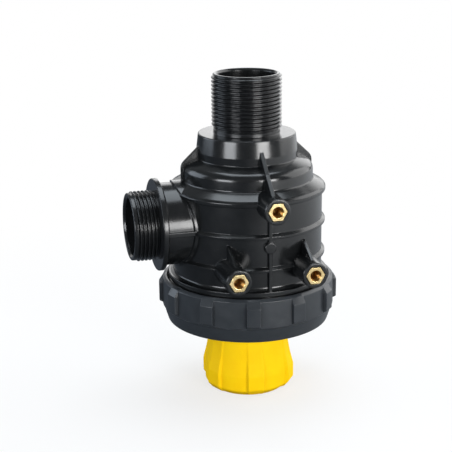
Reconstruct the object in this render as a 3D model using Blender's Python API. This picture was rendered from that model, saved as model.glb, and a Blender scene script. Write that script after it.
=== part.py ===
"""Suction filter with a shut-off valve, in metres, +Z up.

The filter's axis is Z and the middle of the cap's foot is the origin. The side port points along -X
and the three mounting bosses face -Y. Sizes are in millimetres, and MM turns them into metres. The radii
are stacked outwards from the push rod and from the pipe thread, and the heights upwards from the cap's
foot, so that a changed size moves whatever stands on it.
"""

import math

import bmesh
import bpy
from mathutils import Matrix, Vector

MM = 0.001

# Main sizes
CAP_HEIGHT = 39.0
HUB_IN_CAP = 23.7
NUT_ABOVE_CAP = 6.5
NUT_HEIGHT = 27.3
BEAD_ABOVE_FILLET = 7.9
BEAD_SPACING_LOW = 19.8
BEAD_SPACING_HIGH = 19.4
SHOULDER_HEIGHT = 12.6
COLLAR_HEIGHT = 14.8
SPIGOT_LENGTH = 35.4
WATER_GAP = 9.6
BOSS_REACH = 15.0
PORT_NECK_LENGTH = 9.5
PORT_THREAD_LENGTH = 15.5

# General clearances, edges and facets
FIT = 0.3
EDGE = 0.6
JOIN = 1.5
CUT_PAST = 5.0
ROUND_STEPS = 36
MEDIUM_STEPS = 24
SMALL_STEPS = 16
ARC_STEPS = 2

# Push rod, and the screw and washer that hold the cap on it
ROD_R = 4.0
ROD_COLLAR_R = ROD_R + 2.6
ROD_COLLAR_HEIGHT = 3.0
ROD_SLACK = 0.3
SCREW_R = 1.9
SCREW_HEAD_R = SCREW_R + 2.0
SCREW_HEAD_HEIGHT = 2.6
SCREW_SOCKET_DEPTH = 1.5
SCREW_DEPTH = 10.0
SCREW_TIP_ROOM = 1.0
WASHER_R = ROD_COLLAR_R + 2.0
WASHER_THICK = 1.0

# Cap and the lid's hub inside it, radii
CAP_POCKET_R = WASHER_R + 0.8
CAP_BOSS_R = CAP_POCKET_R + 2.1
HUB_INNER_R = CAP_BOSS_R + 4.5
HUB_R = HUB_INNER_R + 3.4
CAP_INNER_R = HUB_R + 1.5
CAP_R = CAP_INNER_R + 3.4
CAP_FOOT_R = CAP_R - 0.3
CAP_SKIRT_R = CAP_R + 2.7
CAP_RIBS = 6
CAP_RIB_R = CAP_R + 4.2
CAP_RIB_WIDTH = 11.0
CAP_RIB_PHASE = 24.0
PLUG_WALL = 1.3

# Cap and hub, heights above the cap's foot
CAP_FOOT_BEVEL = 2.0
CAP_FOOT_LIFT = 0.7
CAP_SIDE_LOW_Z = 4.0
CAP_FLOOR = 4.5
CAP_POCKET_Z = 8.0
CAP_BOSS_TOP_Z = 16.0
CAP_TOP_Z = CAP_HEIGHT
CAP_SKIRT_Z = CAP_HEIGHT * 0.33
CAP_RIB_FOOT_Z = 1.5
CAP_RIB_LOW_Z = 5.5
CAP_RIB_HIGH_Z = CAP_HEIGHT * 0.36
CAP_RIB_FLARE_Z = CAP_HEIGHT * 0.56
CAP_RIB_TOP_Z = CAP_HEIGHT * 0.87
CAP_RIB_FLARE = 2.1
PLUG_THICK = 1.6
PLUG_SKIRT = 5.0
HUB_LOW_Z = CAP_TOP_Z - HUB_IN_CAP

# Ring nut, lid and the housing's lower rim, heights
NUT_LOW_Z = CAP_TOP_Z + NUT_ABOVE_CAP
NUT_FLANGE_TOP_Z = NUT_LOW_Z + 4.7
NUT_STEP_Z = NUT_LOW_Z + 9.7
NUT_HIGH_Z = NUT_LOW_Z + NUT_HEIGHT
HUB_CEILING_Z = NUT_LOW_Z - 1.5
GLAND_TOP_Z = HUB_CEILING_Z + 5.0
LID_FLANGE_Z = NUT_FLANGE_TOP_Z + FIT
LID_FLANGE_TOP_Z = LID_FLANGE_Z + 6.2
RIM_Z = LID_FLANGE_TOP_Z + FIT
LID_SEAT_Z = RIM_Z + 5.0
LID_FLOOR_Z = LID_SEAT_Z - 4.0
LID_GUIDE_RISE = 2.0
LID_GROOVE_Z = LID_FLANGE_TOP_Z + 1.5
LID_GROOVE_HEIGHT = 2.7
LID_DISH = 3.0

# Housing, heights
BASE_LIP_LOW_Z = NUT_HIGH_Z - 0.2
BASE_LIP_HIGH_Z = BASE_LIP_LOW_Z + 3.1
BASE_FILLET_SAG = 2.2
BASE_FILLET_Z = BASE_LIP_HIGH_Z + 4.8
BEAD_HEIGHT = 2.8
BEAD_LOW_Z = BASE_FILLET_Z + BEAD_ABOVE_FILLET
BEAD_MIDDLE_Z = BEAD_LOW_Z + BEAD_SPACING_LOW
BEAD_TOP_Z = BEAD_MIDDLE_Z + BEAD_SPACING_HIGH
SHOULDER_LOW_Z = BEAD_TOP_Z + 6.0
SHOULDER_HIGH_Z = SHOULDER_LOW_Z + SHOULDER_HEIGHT
SHOULDER_DROP = 3.6
SHOULDER_ROUNDING = 3.5
FLARE_RISE = 2.4
SHOULDER_LEDGE = 1.2
SHOULDER_LEDGE_DROP = 0.4
COLLAR_TOP_Z = SHOULDER_HIGH_Z + COLLAR_HEIGHT
SPIGOT_RELIEF = 2.2
SPIGOT_TOP_Z = COLLAR_TOP_Z + SPIGOT_LENGTH
GUIDE_STOP_Z = SPIGOT_TOP_Z - 20.4
GUIDE_STOP_HEIGHT = 2.0
STEM_TOP_Z = SPIGOT_TOP_Z - 9.4

# Valve, seat and chamber, heights. The chamber's roof is under the collar
VALVE_LIFT = 8.0
SEAL_THICK = 2.2
DISC_THICK = 3.0
DISC_HEADROOM = 3.7
SEAT_RISE = 6.5
SEAT_LIP = 1.0
SEAT_FLANGE_THICK = 2.6
SEAT_GROOVE_RISE = 1.4
SEAT_GROOVE_HEIGHT = 2.4
CHAMBER_ROOF_Z = COLLAR_TOP_Z - 4.0
CHAMBER_LOW_Z = CHAMBER_ROOF_Z - DISC_HEADROOM - DISC_THICK - SEAL_THICK - VALVE_LIFT - SEAT_RISE - 2 * FIT
SEAT_TOP_Z = CHAMBER_LOW_Z + SEAT_RISE
RETAINER_THICK = 3.0
STEM_FOOT = 2.0

# Pipe threads, G 1 1/4: these solids carry the plain crest, which is the major diameter
PIPE_R = 20.955
PIPE_ROOT_R = PIPE_R - 1.479
PIPE_BORE_R = PIPE_ROOT_R - 2.076
PIPE_CHAMFER = 1.2
PIPE_RELIEF_R = PIPE_ROOT_R + 0.5
MOUTH_CHAMFER = 1.0

# Valve, seat and chamber, radii
GUIDE_STOP_R = PIPE_BORE_R - 1.4
GUIDE_R = PIPE_BORE_R - FIT
GUIDE_WALL = 2.4
GUIDE_HEIGHT = 4.0
GUIDE_HUB_R = 6.4
GUIDE_HUB_DROP = 4.0
GUIDE_ARMS = 3
GUIDE_ARM_WIDTH = 2.6
GUIDE_ARM_INSET = 0.4
STEM_R = 3.5
VALVE_NECK_R = STEM_R + 1.0
RETAINER_R = VALVE_NECK_R + 4.0
SPRING_R = STEM_R + 6.0
SPRING_WIRE_R = 0.7
SPRING_TURNS = 4.5
SPRING_TURN_STEPS = 12
CHAMBER_R = PIPE_BORE_R + 6.6
CHAMBER_WALL = 3.5
CHAMBER_TUBE_R = CHAMBER_R + CHAMBER_WALL
DISC_R = CHAMBER_R - 5.5
SEAL_R = DISC_R - 1.2
SEAT_R = CHAMBER_R - FIT
SEAT_BORE_R = CHAMBER_R - 10.0
SEAT_GROOVE_R = SEAT_R - 1.9
SEAT_FLANGE_R = CHAMBER_TUBE_R - 0.1
SEAT_LEAD_IN = 1.2

# Cartridge
CAGE_R = CHAMBER_TUBE_R + 4.0
CAGE_WALL = 2.3
CAGE_RING = 4.5
CAGE_FLOOR = 3.0
CAGE_MOUTH_R = SEAT_BORE_R + 6.0
CAGE_GUIDE_R = ROD_R + 0.6
CAGE_GUIDE_WALL = 2.4
CAGE_GUIDE_RISE = 3.0
CAGE_COLUMNS = 6
CAGE_ROWS = 2
CAGE_RIB = 3.0
GASKET_THICK = 2.2
GASKET_WIDTH = 4.5
LOW_GASKET_R = CAGE_R - 1.0
TOP_GASKET_R = SEAT_FLANGE_R - 0.9
MESH_THICK = 0.6

# Housing, radii
WALL = 4.2
DRUM_INNER_R = CAGE_R + WATER_GAP
DRUM_R = DRUM_INNER_R + WALL
BEAD_R = DRUM_R + 2.0
BASE_THREAD_ROOT_R = DRUM_R + 1.5
BASE_LIP_R = BASE_THREAD_ROOT_R + 1.9
SHOULDER_R = DRUM_R - 5.6
COLLAR_TOP_R = CHAMBER_R + 5.2
COLLAR_FOOT_R = COLLAR_TOP_R + 1.3
FLARE_EDGE = 1.1
COLLAR_EDGE = 0.8
CAVITY_STEP = 2.0
CAVITY_ROUNDING = 2.0
CAVITY_ROOF_ROUNDING = 5.0

# Lid and ring nut, radii
GLAND_R = ROD_R + 3.0
LID_GUIDE_R = GLAND_R + 2.0
BUSH_FLANGE = 2.0
BUSH_FLANGE_THICK = 1.3
LID_SEAT_INNER_R = CAGE_R - 7.5
LID_SPIGOT_R = DRUM_INNER_R - FIT
LID_GROOVE_R = LID_SPIGOT_R - 2.4
LID_R = BASE_THREAD_ROOT_R - 0.4
HUB_EDGE = 1.0
HUB_FLARE = 6.0
NUT_BORE_R = BASE_THREAD_ROOT_R + 3.0
NUT_R = NUT_BORE_R + 2.7
NUT_FOOT_R = NUT_R - 3.0
NUT_FLANGE_R = NUT_FOOT_R - 8.0
NUT_EDGE = 1.4
NUT_DRAFT = 0.3
NUT_STEP_DEPTH = 0.8
NUT_STEP_DROP = 0.9
NUT_BELLY_DROP = 4.5
NUT_BELLY_ROUNDING = 6.0
NUT_LUGS = 12
NUT_LUG_R = NUT_R + 2.4
NUT_LUG_WIDTH = 8.4
NUT_LUG_PHASE = 17.2
NUT_LUG_SLOPE = 4.8
NUT_LUG_LIFT = 0.5
NUT_LUG_FOOT_SLOPE = 1.1

# Side port, at the height of the middle bead
PORT_Z = BEAD_MIDDLE_Z
PORT_FLANGE_NEAR = DRUM_R + PORT_NECK_LENGTH
PORT_FLANGE_FAR = PORT_FLANGE_NEAR + 3.1
PORT_END = PORT_FLANGE_FAR + PORT_THREAD_LENGTH
PORT_FLANGE_R = PIPE_R + 6.745
PORT_FLANGE_EDGE = 0.5
PORT_NECK_R = PORT_FLANGE_R - 3.0
PORT_NECK_FLARE = 0.8
PORT_SADDLE_R = PORT_NECK_R + 1.2
PORT_SADDLE_RISE = 1.4
PORT_RIB_WIDTH = 3.0
PORT_RIB_RISE = 1.5

# Mounting bosses with hexagon inserts, their fins, and the front rib with its pad
BOSS_FACE = DRUM_R + BOSS_REACH
BOSS_ROOT = DRUM_R - BOSS_REACH
BOSS_R = 7.6
BOSS_SIDE = 22.7
BOSS_HIGH_Z = BEAD_TOP_Z - 0.7
BOSS_LOW_Z = BEAD_LOW_Z - 1.0
INSERT_FLATS = 2 * (BOSS_R - 2.6)
INSERT_LENGTH = 12.0
INSERT_HOLE_R = 2.55
INSERT_HOLE_FLOOR = 1.5
INSERT_LEAD_IN = 0.7
INSERT_PROUD = 0.4
RIB_WIDTH = 2.2
RIB_RISE = 2.0
RIB_ROOT = 2.0
FIN_COLLAR_RISE = 8.3
FIN_KNEE_OUT = 1.3
FIN_KNEE_DROP = 2.2
FIN_FOOT_DROP = 2.4
FIN_HIGH_SETBACK = 7.0
FIN_LOW_SETBACK = 4.0
FIN_LOW_RISE = 8.4
PAD_R = 3.4
PAD_PROUD = 0.3
PAD_Z = BEAD_MIDDLE_Z - 6.2


def clear_scene():
    for obj in list(bpy.data.objects):
        bpy.data.objects.remove(obj, do_unlink=True)


def material(name, colour, roughness, metallic=0.0):
    made = bpy.data.materials.new(name)
    made.use_nodes = True
    shader = made.node_tree.nodes["Principled BSDF"]
    shader.inputs["Base Color"].default_value = (*colour, 1.0)
    shader.inputs["Roughness"].default_value = roughness
    shader.inputs["Metallic"].default_value = metallic
    made.diffuse_color = (*colour, 1.0)
    return made


def add_object(name, mesh, finish=None, home=None):
    """A named object. home is the empty on the axis of the body that it belongs to."""
    obj = bpy.data.objects.new(name, mesh)
    bpy.context.scene.collection.objects.link(obj)
    if finish:
        mesh.materials.append(finish)
    if home:
        mesh.transform(Matrix.Translation(-home.location))
        obj.parent = home
    mesh.shade_smooth()
    mesh.set_sharp_from_angle(angle=math.radians(35))
    return obj


def axis_empty(name, height):
    """The place of a moving body on the filter's axis."""
    empty = bpy.data.objects.new(name, None)
    empty.location = (0, 0, height * MM)
    bpy.context.scene.collection.objects.link(empty)
    return empty


def boolean(target, other, operation):
    """Joins, cuts or limits the target with another piece, which stays out of the finished model."""
    other.hide_render = True
    other.display_type = "WIRE"
    modifier = target.modifiers.new(other.name, "BOOLEAN")
    modifier.operation = operation
    modifier.object = other
    return target


def rounded(corners):
    """An outline with its corners rounded. Each corner is (r, z) or (r, z, fillet radius)."""
    points = []
    for index, corner in enumerate(corners):
        here = Vector(corner[:2])
        radius = corner[2] if len(corner) > 2 else 0.0
        if not radius:
            points.append(tuple(here))
            continue
        before = (Vector(corners[index - 1][:2]) - here).normalized()
        after = (Vector(corners[(index + 1) % len(corners)][:2]) - here).normalized()
        half = before.angle(after) / 2
        centre = here + (before + after).normalized() * (radius / math.sin(half))
        start = here + before * (radius / math.tan(half)) - centre
        end = here + after * (radius / math.tan(half)) - centre
        for step in range(ARC_STEPS + 1):
            along = start.lerp(end, step / ARC_STEPS).normalized() * radius
            points.append(tuple(centre + along))
    return points


def turned_mesh(name, outline, steps):
    """The outline, (radius, height) in millimetres, turned round Z. It is closed, or ends on the axis."""
    bm = bmesh.new()
    verts = [bm.verts.new((r * MM, 0, z * MM)) for r, z in outline]
    pairs = list(zip(verts, verts[1:]))
    ends_on_axis = outline[0][0] == 0 and outline[-1][0] == 0
    if not ends_on_axis:
        pairs.append((verts[-1], verts[0]))
    edges = [bm.edges.new(pair) for pair in pairs]
    bmesh.ops.spin(
        bm, geom=verts + edges, axis=(0, 0, 1), cent=(0, 0, 0), angle=math.tau, steps=steps, use_merge=True
    )
    bmesh.ops.remove_doubles(bm, verts=bm.verts, dist=1e-6)
    bmesh.ops.recalc_face_normals(bm, faces=bm.faces)
    mesh = bpy.data.meshes.new(name)
    bm.to_mesh(mesh)
    bm.free()
    return mesh


def turned(name, outline, steps, finish=None, home=None):
    return add_object(name, turned_mesh(name, outline, steps), finish, home)


def prism_mesh(name, outline, low, high, axis="Z"):
    """A flat outline pushed from low to high along an axis, in millimetres.

    The outline's two numbers are X and Y for axis Z, Y and Z for axis X, and X and Z for axis Y."""
    orders = {"Z": lambda u, v, w: (u, v, w), "X": lambda u, v, w: (w, u, v), "Y": lambda u, v, w: (u, w, v)}
    place = orders[axis]
    bm = bmesh.new()
    face = bm.faces.new([bm.verts.new([c * MM for c in place(u, v, low)]) for u, v in outline])
    pushed = bmesh.ops.extrude_face_region(bm, geom=[face])["geom"]
    verts = [item for item in pushed if isinstance(item, bmesh.types.BMVert)]
    bmesh.ops.translate(bm, verts=verts, vec=[c * (high - low) * MM for c in place(0, 0, 1)])
    bmesh.ops.recalc_face_normals(bm, faces=bm.faces)
    mesh = bpy.data.meshes.new(name)
    bm.to_mesh(mesh)
    bm.free()
    return mesh


def prism(name, outline, low, high, axis="Z", finish=None, home=None):
    return add_object(name, prism_mesh(name, outline, low, high, axis), finish, home)


def rectangle(u_low, u_high, v_low, v_high):
    return [(u_low, v_low), (u_high, v_low), (u_high, v_high), (u_low, v_high)]


def polar(radius, angle):
    return radius * math.cos(angle), radius * math.sin(angle)


def polygon(sides, radius, phase=0.0, centre=(0, 0)):
    corners = [polar(radius, phase + math.tau * index / sides) for index in range(sides)]
    return [(centre[0] + u, centre[1] + v) for u, v in corners]


def hexagon_corner(flats):
    """The radius over the corners of a hexagon of this width over its flats."""
    return flats / 2 / math.cos(math.pi / 6)


def point_to_port(obj):
    """Turns a piece made along +Z so that it lies along the side port, at the port's height."""
    obj.data.transform(Matrix.Translation((0, 0, PORT_Z * MM)) @ Matrix.Rotation(-math.pi / 2, 4, "Y"))
    return obj


def drum_outline():
    """The outside of the housing, from the top rim down to the lower rim, ending on the axis."""
    outline = [
        (0, SPIGOT_TOP_Z),
        (PIPE_R - PIPE_CHAMFER, SPIGOT_TOP_Z),
        (PIPE_R, SPIGOT_TOP_Z - PIPE_CHAMFER),
        (PIPE_R, COLLAR_TOP_Z + SPIGOT_RELIEF),
        (PIPE_RELIEF_R, COLLAR_TOP_Z + SPIGOT_RELIEF / 2),
        (PIPE_RELIEF_R, COLLAR_TOP_Z),
        (COLLAR_TOP_R, COLLAR_TOP_Z, COLLAR_EDGE),
        (COLLAR_FOOT_R, SHOULDER_HIGH_Z),
        (COLLAR_FOOT_R + SHOULDER_LEDGE, SHOULDER_HIGH_Z - SHOULDER_LEDGE_DROP),
        (SHOULDER_R, SHOULDER_HIGH_Z - SHOULDER_DROP, SHOULDER_ROUNDING),
        (SHOULDER_R, SHOULDER_LOW_Z),
        (BEAD_R - FLARE_EDGE, BEAD_TOP_Z + FLARE_RISE),
        (BEAD_R, BEAD_TOP_Z + BEAD_HEIGHT / 2),
        (BEAD_R, BEAD_TOP_Z - BEAD_HEIGHT / 4),
        (DRUM_R, BEAD_TOP_Z - BEAD_HEIGHT / 2),
    ]
    for height in (BEAD_MIDDLE_Z, BEAD_LOW_Z):
        outline += [
            (DRUM_R, height + BEAD_HEIGHT / 2),
            (BEAD_R, height + BEAD_HEIGHT / 4),
            (BEAD_R, height - BEAD_HEIGHT / 4),
            (DRUM_R, height - BEAD_HEIGHT / 2),
        ]
    outline += [
        (DRUM_R, BASE_FILLET_Z),
        (BASE_LIP_R - BASE_FILLET_SAG, BASE_LIP_HIGH_Z + BASE_FILLET_SAG),
        (BASE_LIP_R, BASE_LIP_HIGH_Z),
        (BASE_LIP_R, BASE_LIP_LOW_Z),
        (BASE_THREAD_ROOT_R, BASE_LIP_LOW_Z),
        (BASE_THREAD_ROOT_R, RIM_Z),
        (0, RIM_Z),
    ]
    return rounded(outline)


def cavity_outline():
    """The inside of the housing: the drum, the valve chamber and the bore of the top spigot."""
    shoulder_r = SHOULDER_R - WALL
    roof_z = SHOULDER_HIGH_Z - WALL
    stop_top = GUIDE_STOP_Z + GUIDE_STOP_HEIGHT
    return rounded([
        (0, RIM_Z - CUT_PAST),
        (DRUM_INNER_R, RIM_Z - CUT_PAST),
        (DRUM_INNER_R, BEAD_TOP_Z - CAVITY_STEP / 2),
        (shoulder_r, SHOULDER_LOW_Z - CAVITY_STEP, CAVITY_ROUNDING),
        (shoulder_r, roof_z - CAVITY_STEP, CAVITY_ROOF_ROUNDING),
        (CHAMBER_TUBE_R, roof_z),
        (CHAMBER_TUBE_R, CHAMBER_LOW_Z),
        (CHAMBER_R, CHAMBER_LOW_Z),
        (CHAMBER_R, CHAMBER_ROOF_Z),
        (PIPE_BORE_R, CHAMBER_ROOF_Z),
        (PIPE_BORE_R, GUIDE_STOP_Z),
        (GUIDE_STOP_R, GUIDE_STOP_Z),
        (GUIDE_STOP_R, stop_top),
        (PIPE_BORE_R, stop_top + PIPE_BORE_R - GUIDE_STOP_R),
        (PIPE_BORE_R, SPIGOT_TOP_Z - MOUTH_CHAMFER),
        (PIPE_BORE_R + MOUTH_CHAMFER + CUT_PAST, SPIGOT_TOP_Z + CUT_PAST),
        (0, SPIGOT_TOP_Z + CUT_PAST),
    ])


def port_outside():
    """The side port's neck, flange and threaded end, along +Z until it is turned to the port."""
    root = math.sqrt(DRUM_INNER_R ** 2 - PORT_NECK_R ** 2) - JOIN
    return turned("port_outside", [
        (0, PORT_END),
        (PIPE_R - PIPE_CHAMFER, PORT_END),
        (PIPE_R, PORT_END - PIPE_CHAMFER),
        (PIPE_R, PORT_FLANGE_FAR),
        (PORT_FLANGE_R - PORT_FLANGE_EDGE, PORT_FLANGE_FAR),
        (PORT_FLANGE_R, PORT_FLANGE_FAR - PORT_FLANGE_EDGE),
        (PORT_FLANGE_R, PORT_FLANGE_NEAR),
        (PORT_NECK_R + PORT_NECK_FLARE, PORT_FLANGE_NEAR),
        (PORT_NECK_R, PORT_FLANGE_NEAR - PORT_NECK_FLARE),
        (PORT_NECK_R, root),
        (0, root),
    ], MEDIUM_STEPS)


def port_saddle():
    """The raised pad where the neck meets the drum: a short pipe kept to an even height over the drum."""
    limit_r = DRUM_R + PORT_SADDLE_RISE
    root = math.sqrt(DRUM_INNER_R ** 2 - PORT_SADDLE_R ** 2) - JOIN
    saddle = point_to_port(turned("port_saddle", [
        (0, limit_r + CUT_PAST),
        (PORT_SADDLE_R, limit_r + CUT_PAST),
        (PORT_SADDLE_R, root),
        (0, root),
    ], MEDIUM_STEPS))
    limit = turned("saddle_limit", [
        (0, PORT_Z + PORT_SADDLE_R + CUT_PAST),
        (limit_r, PORT_Z + PORT_SADDLE_R + CUT_PAST),
        (limit_r, PORT_Z - PORT_SADDLE_R - CUT_PAST),
        (0, PORT_Z - PORT_SADDLE_R - CUT_PAST),
    ], ROUND_STEPS)
    return boolean(saddle, limit, "INTERSECT")


def port_bore():
    """The port's bore, with a countersunk mouth."""
    root = math.sqrt(DRUM_INNER_R ** 2 - PIPE_BORE_R ** 2) - CUT_PAST
    return turned("port_bore", [
        (0, PORT_END + CUT_PAST),
        (PIPE_BORE_R + MOUTH_CHAMFER + CUT_PAST, PORT_END + CUT_PAST),
        (PIPE_BORE_R, PORT_END - MOUTH_CHAMFER),
        (PIPE_BORE_R, root),
        (0, root),
    ], MEDIUM_STEPS)


def boss_places():
    """Name, side and height of each boss."""
    return [
        ("upper", 0.0, BOSS_HIGH_Z),
        ("lower_left", -BOSS_SIDE, BOSS_LOW_Z),
        ("lower_right", BOSS_SIDE, BOSS_LOW_Z),
    ]


def add_shoulder_fins(housing):
    """Three fins over the shoulder, on the port's side, at the back and at the right. The fourth is the boss's."""
    knee_r = SHOULDER_R + FIN_KNEE_OUT
    fin_side = [
        (COLLAR_FOOT_R - JOIN, SHOULDER_HIGH_Z + FIN_COLLAR_RISE),
        (COLLAR_FOOT_R - EDGE, SHOULDER_HIGH_Z + FIN_COLLAR_RISE),
        (knee_r, SHOULDER_HIGH_Z - FIN_KNEE_DROP),
        (knee_r, SHOULDER_LOW_Z - FIN_FOOT_DROP),
        (SHOULDER_R - JOIN, SHOULDER_LOW_Z - FIN_FOOT_DROP),
        (COLLAR_FOOT_R - JOIN, SHOULDER_HIGH_Z - SHOULDER_DROP),
    ]
    for index, name in enumerate(("right", "back", "port")):
        fin = prism("fin_" + name, fin_side, -RIB_WIDTH / 2, RIB_WIDTH / 2, "X")
        fin.data.transform(Matrix.Rotation((index - 1) * math.pi / 2, 4, "Z"))
        boolean(housing, fin, "UNION")


def add_bosses(housing):
    """Three bosses, the fin from the collar to the upper one, and a fin on each of the lower ones."""
    for name, side, height in boss_places():
        round_boss = polygon(SMALL_STEPS, BOSS_R, math.pi / SMALL_STEPS, (side, height))
        boolean(housing, prism("boss_" + name, round_boss, -BOSS_FACE, -BOSS_ROOT, "Y"), "UNION")
    high_end = -BOSS_FACE + FIN_HIGH_SETBACK
    high_fin = [
        (-COLLAR_FOOT_R + JOIN, SHOULDER_HIGH_Z + FIN_COLLAR_RISE),
        (-COLLAR_FOOT_R + EDGE, SHOULDER_HIGH_Z + FIN_COLLAR_RISE),
        (-SHOULDER_R - FIN_KNEE_OUT, SHOULDER_HIGH_Z - FIN_KNEE_DROP),
        (high_end, BOSS_HIGH_Z + BOSS_R - RIB_WIDTH / 2),
        (high_end, BOSS_HIGH_Z),
        (-BOSS_ROOT, BOSS_HIGH_Z),
        (-COLLAR_FOOT_R + JOIN, SHOULDER_HIGH_Z - SHOULDER_DROP),
    ]
    boolean(housing, prism("fin_upper", high_fin, -RIB_WIDTH / 2, RIB_WIDTH / 2, "X"), "UNION")
    wall_y = -math.sqrt(DRUM_R ** 2 - BOSS_SIDE ** 2)
    low_end = -BOSS_FACE + FIN_LOW_SETBACK
    low_fin = [
        (wall_y + JOIN, BOSS_LOW_Z + BOSS_R + FIN_LOW_RISE),
        (wall_y, BOSS_LOW_Z + BOSS_R + FIN_LOW_RISE),
        (low_end, BOSS_LOW_Z + BOSS_R - RIB_WIDTH / 2),
        (low_end, BOSS_LOW_Z),
        (wall_y + JOIN, BOSS_LOW_Z),
    ]
    for name, side, _ in boss_places()[1:]:
        fin = prism("fin_" + name, low_fin, side - RIB_WIDTH / 2, side + RIB_WIDTH / 2, "X")
        boolean(housing, fin, "UNION")


def add_ribs(housing):
    """The upright rib between the bosses, its round pad, and the level rib on each side of the port's neck."""
    rib_top = BOSS_HIGH_Z - BOSS_R + JOIN
    front = rectangle(-DRUM_R - RIB_RISE, -DRUM_R + RIB_ROOT, BASE_LIP_HIGH_Z + BASE_FILLET_SAG, rib_top)
    boolean(housing, prism("front_rib", front, -RIB_WIDTH / 2, RIB_WIDTH / 2, "X"), "UNION")
    pad_face = -DRUM_R - RIB_RISE - PAD_PROUD
    pad = prism("front_pad", polygon(SMALL_STEPS, PAD_R, 0.0, (0, PAD_Z)), pad_face, -DRUM_R + RIB_ROOT, "Y")
    boolean(housing, pad, "UNION")
    rib_r = PORT_NECK_R + PORT_RIB_RISE
    root = -math.sqrt(DRUM_R ** 2 - rib_r ** 2) + JOIN
    low_z = PORT_Z - PORT_RIB_WIDTH / 2
    for name, near, far in (("front", -rib_r, RIB_ROOT - PORT_NECK_R), ("back", PORT_NECK_R - RIB_ROOT, rib_r)):
        level = rectangle(near, far, low_z, low_z + PORT_RIB_WIDTH)
        boolean(housing, prism("neck_rib_" + name, level, -PORT_FLANGE_NEAR - PORT_NECK_FLARE, root, "X"), "UNION")


def cut_insert_pockets(housing):
    pocket_r = hexagon_corner(INSERT_FLATS + 2 * FIT)
    bottom = -BOSS_FACE + INSERT_LENGTH - INSERT_PROUD + FIT
    for name, side, height in boss_places():
        hexagon = polygon(6, pocket_r, 0.0, (side, height))
        boolean(housing, prism("pocket_" + name, hexagon, -BOSS_FACE - CUT_PAST, bottom, "Y"), "DIFFERENCE")


def make_housing(plastic):
    housing = turned("housing", drum_outline(), ROUND_STEPS, plastic)
    boolean(housing, point_to_port(port_outside()), "UNION")
    boolean(housing, port_saddle(), "UNION")
    add_shoulder_fins(housing)
    add_bosses(housing)
    add_ribs(housing)
    boolean(housing, turned("cavity", cavity_outline(), ROUND_STEPS), "DIFFERENCE")
    boolean(housing, point_to_port(port_bore()), "DIFFERENCE")
    cut_insert_pockets(housing)


def make_inserts(brass):
    """Hexagon bushes with a countersunk hole, set in the bosses from the front."""
    front = -BOSS_FACE - INSERT_PROUD
    hole_end = -INSERT_LENGTH + INSERT_HOLE_FLOOR
    for name, side, height in boss_places():
        hexagon = polygon(6, hexagon_corner(INSERT_FLATS), 0.0, (side, height))
        insert = prism("insert_" + name, hexagon, front, front + INSERT_LENGTH, "Y", brass)
        hole = turned("hole_" + name, [
            (0, CUT_PAST),
            (INSERT_HOLE_R + INSERT_LEAD_IN + CUT_PAST, CUT_PAST),
            (INSERT_HOLE_R, -INSERT_LEAD_IN),
            (INSERT_HOLE_R, hole_end),
            (0, hole_end),
        ], SMALL_STEPS)
        to_boss = Matrix.Translation((side * MM, front * MM, height * MM))
        hole.data.transform(to_boss @ Matrix.Rotation(math.pi / 2, 4, "X"))
        boolean(insert, hole, "DIFFERENCE")


def make_spring_guide(plastic):
    """The spider under the stop ridge in the spigot: a ring, three arms and the hub round the stem.

    It gives the height of the arms' lower side, which the spring pushes against."""
    top = GUIDE_STOP_Z - FIT
    low = top - GUIDE_HEIGHT
    inner_r = GUIDE_R - GUIDE_WALL
    ring = [(GUIDE_R, top), (GUIDE_R, low), (inner_r, low), (inner_r, top)]
    guide = turned("spring_guide", ring, MEDIUM_STEPS, plastic)
    arm_low = low + GUIDE_ARM_INSET
    for index in range(GUIDE_ARMS):
        across = rectangle(STEM_R + JOIN, inner_r + GUIDE_WALL / 2, -GUIDE_ARM_WIDTH / 2, GUIDE_ARM_WIDTH / 2)
        arm = prism(f"guide_arm_{index}", across, arm_low, top - GUIDE_ARM_INSET)
        arm.data.transform(Matrix.Rotation(math.tau * index / GUIDE_ARMS, 4, "Z"))
        boolean(guide, arm, "UNION")
    hub_low = low - GUIDE_HUB_DROP
    post = [(0, top), (GUIDE_HUB_R, top), (GUIDE_HUB_R, hub_low), (0, hub_low)]
    boolean(guide, turned("guide_hub", post, MEDIUM_STEPS), "UNION")
    bore_r = STEM_R + FIT
    above = top + CUT_PAST
    below = hub_low - CUT_PAST
    past = [(0, above), (bore_r, above), (bore_r, below), (0, below)]
    boolean(guide, turned("guide_bore", past, SMALL_STEPS), "DIFFERENCE")
    return arm_low


def o_ring(name, inner_r, outer_r, height, steps, rubber, home=None):
    """A round-section ring that fills the room between two radii."""
    section_r = (outer_r - inner_r) / 2
    turned(name, polygon(6, section_r, math.pi / 6, (inner_r + section_r, height)), steps, rubber, home)


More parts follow.
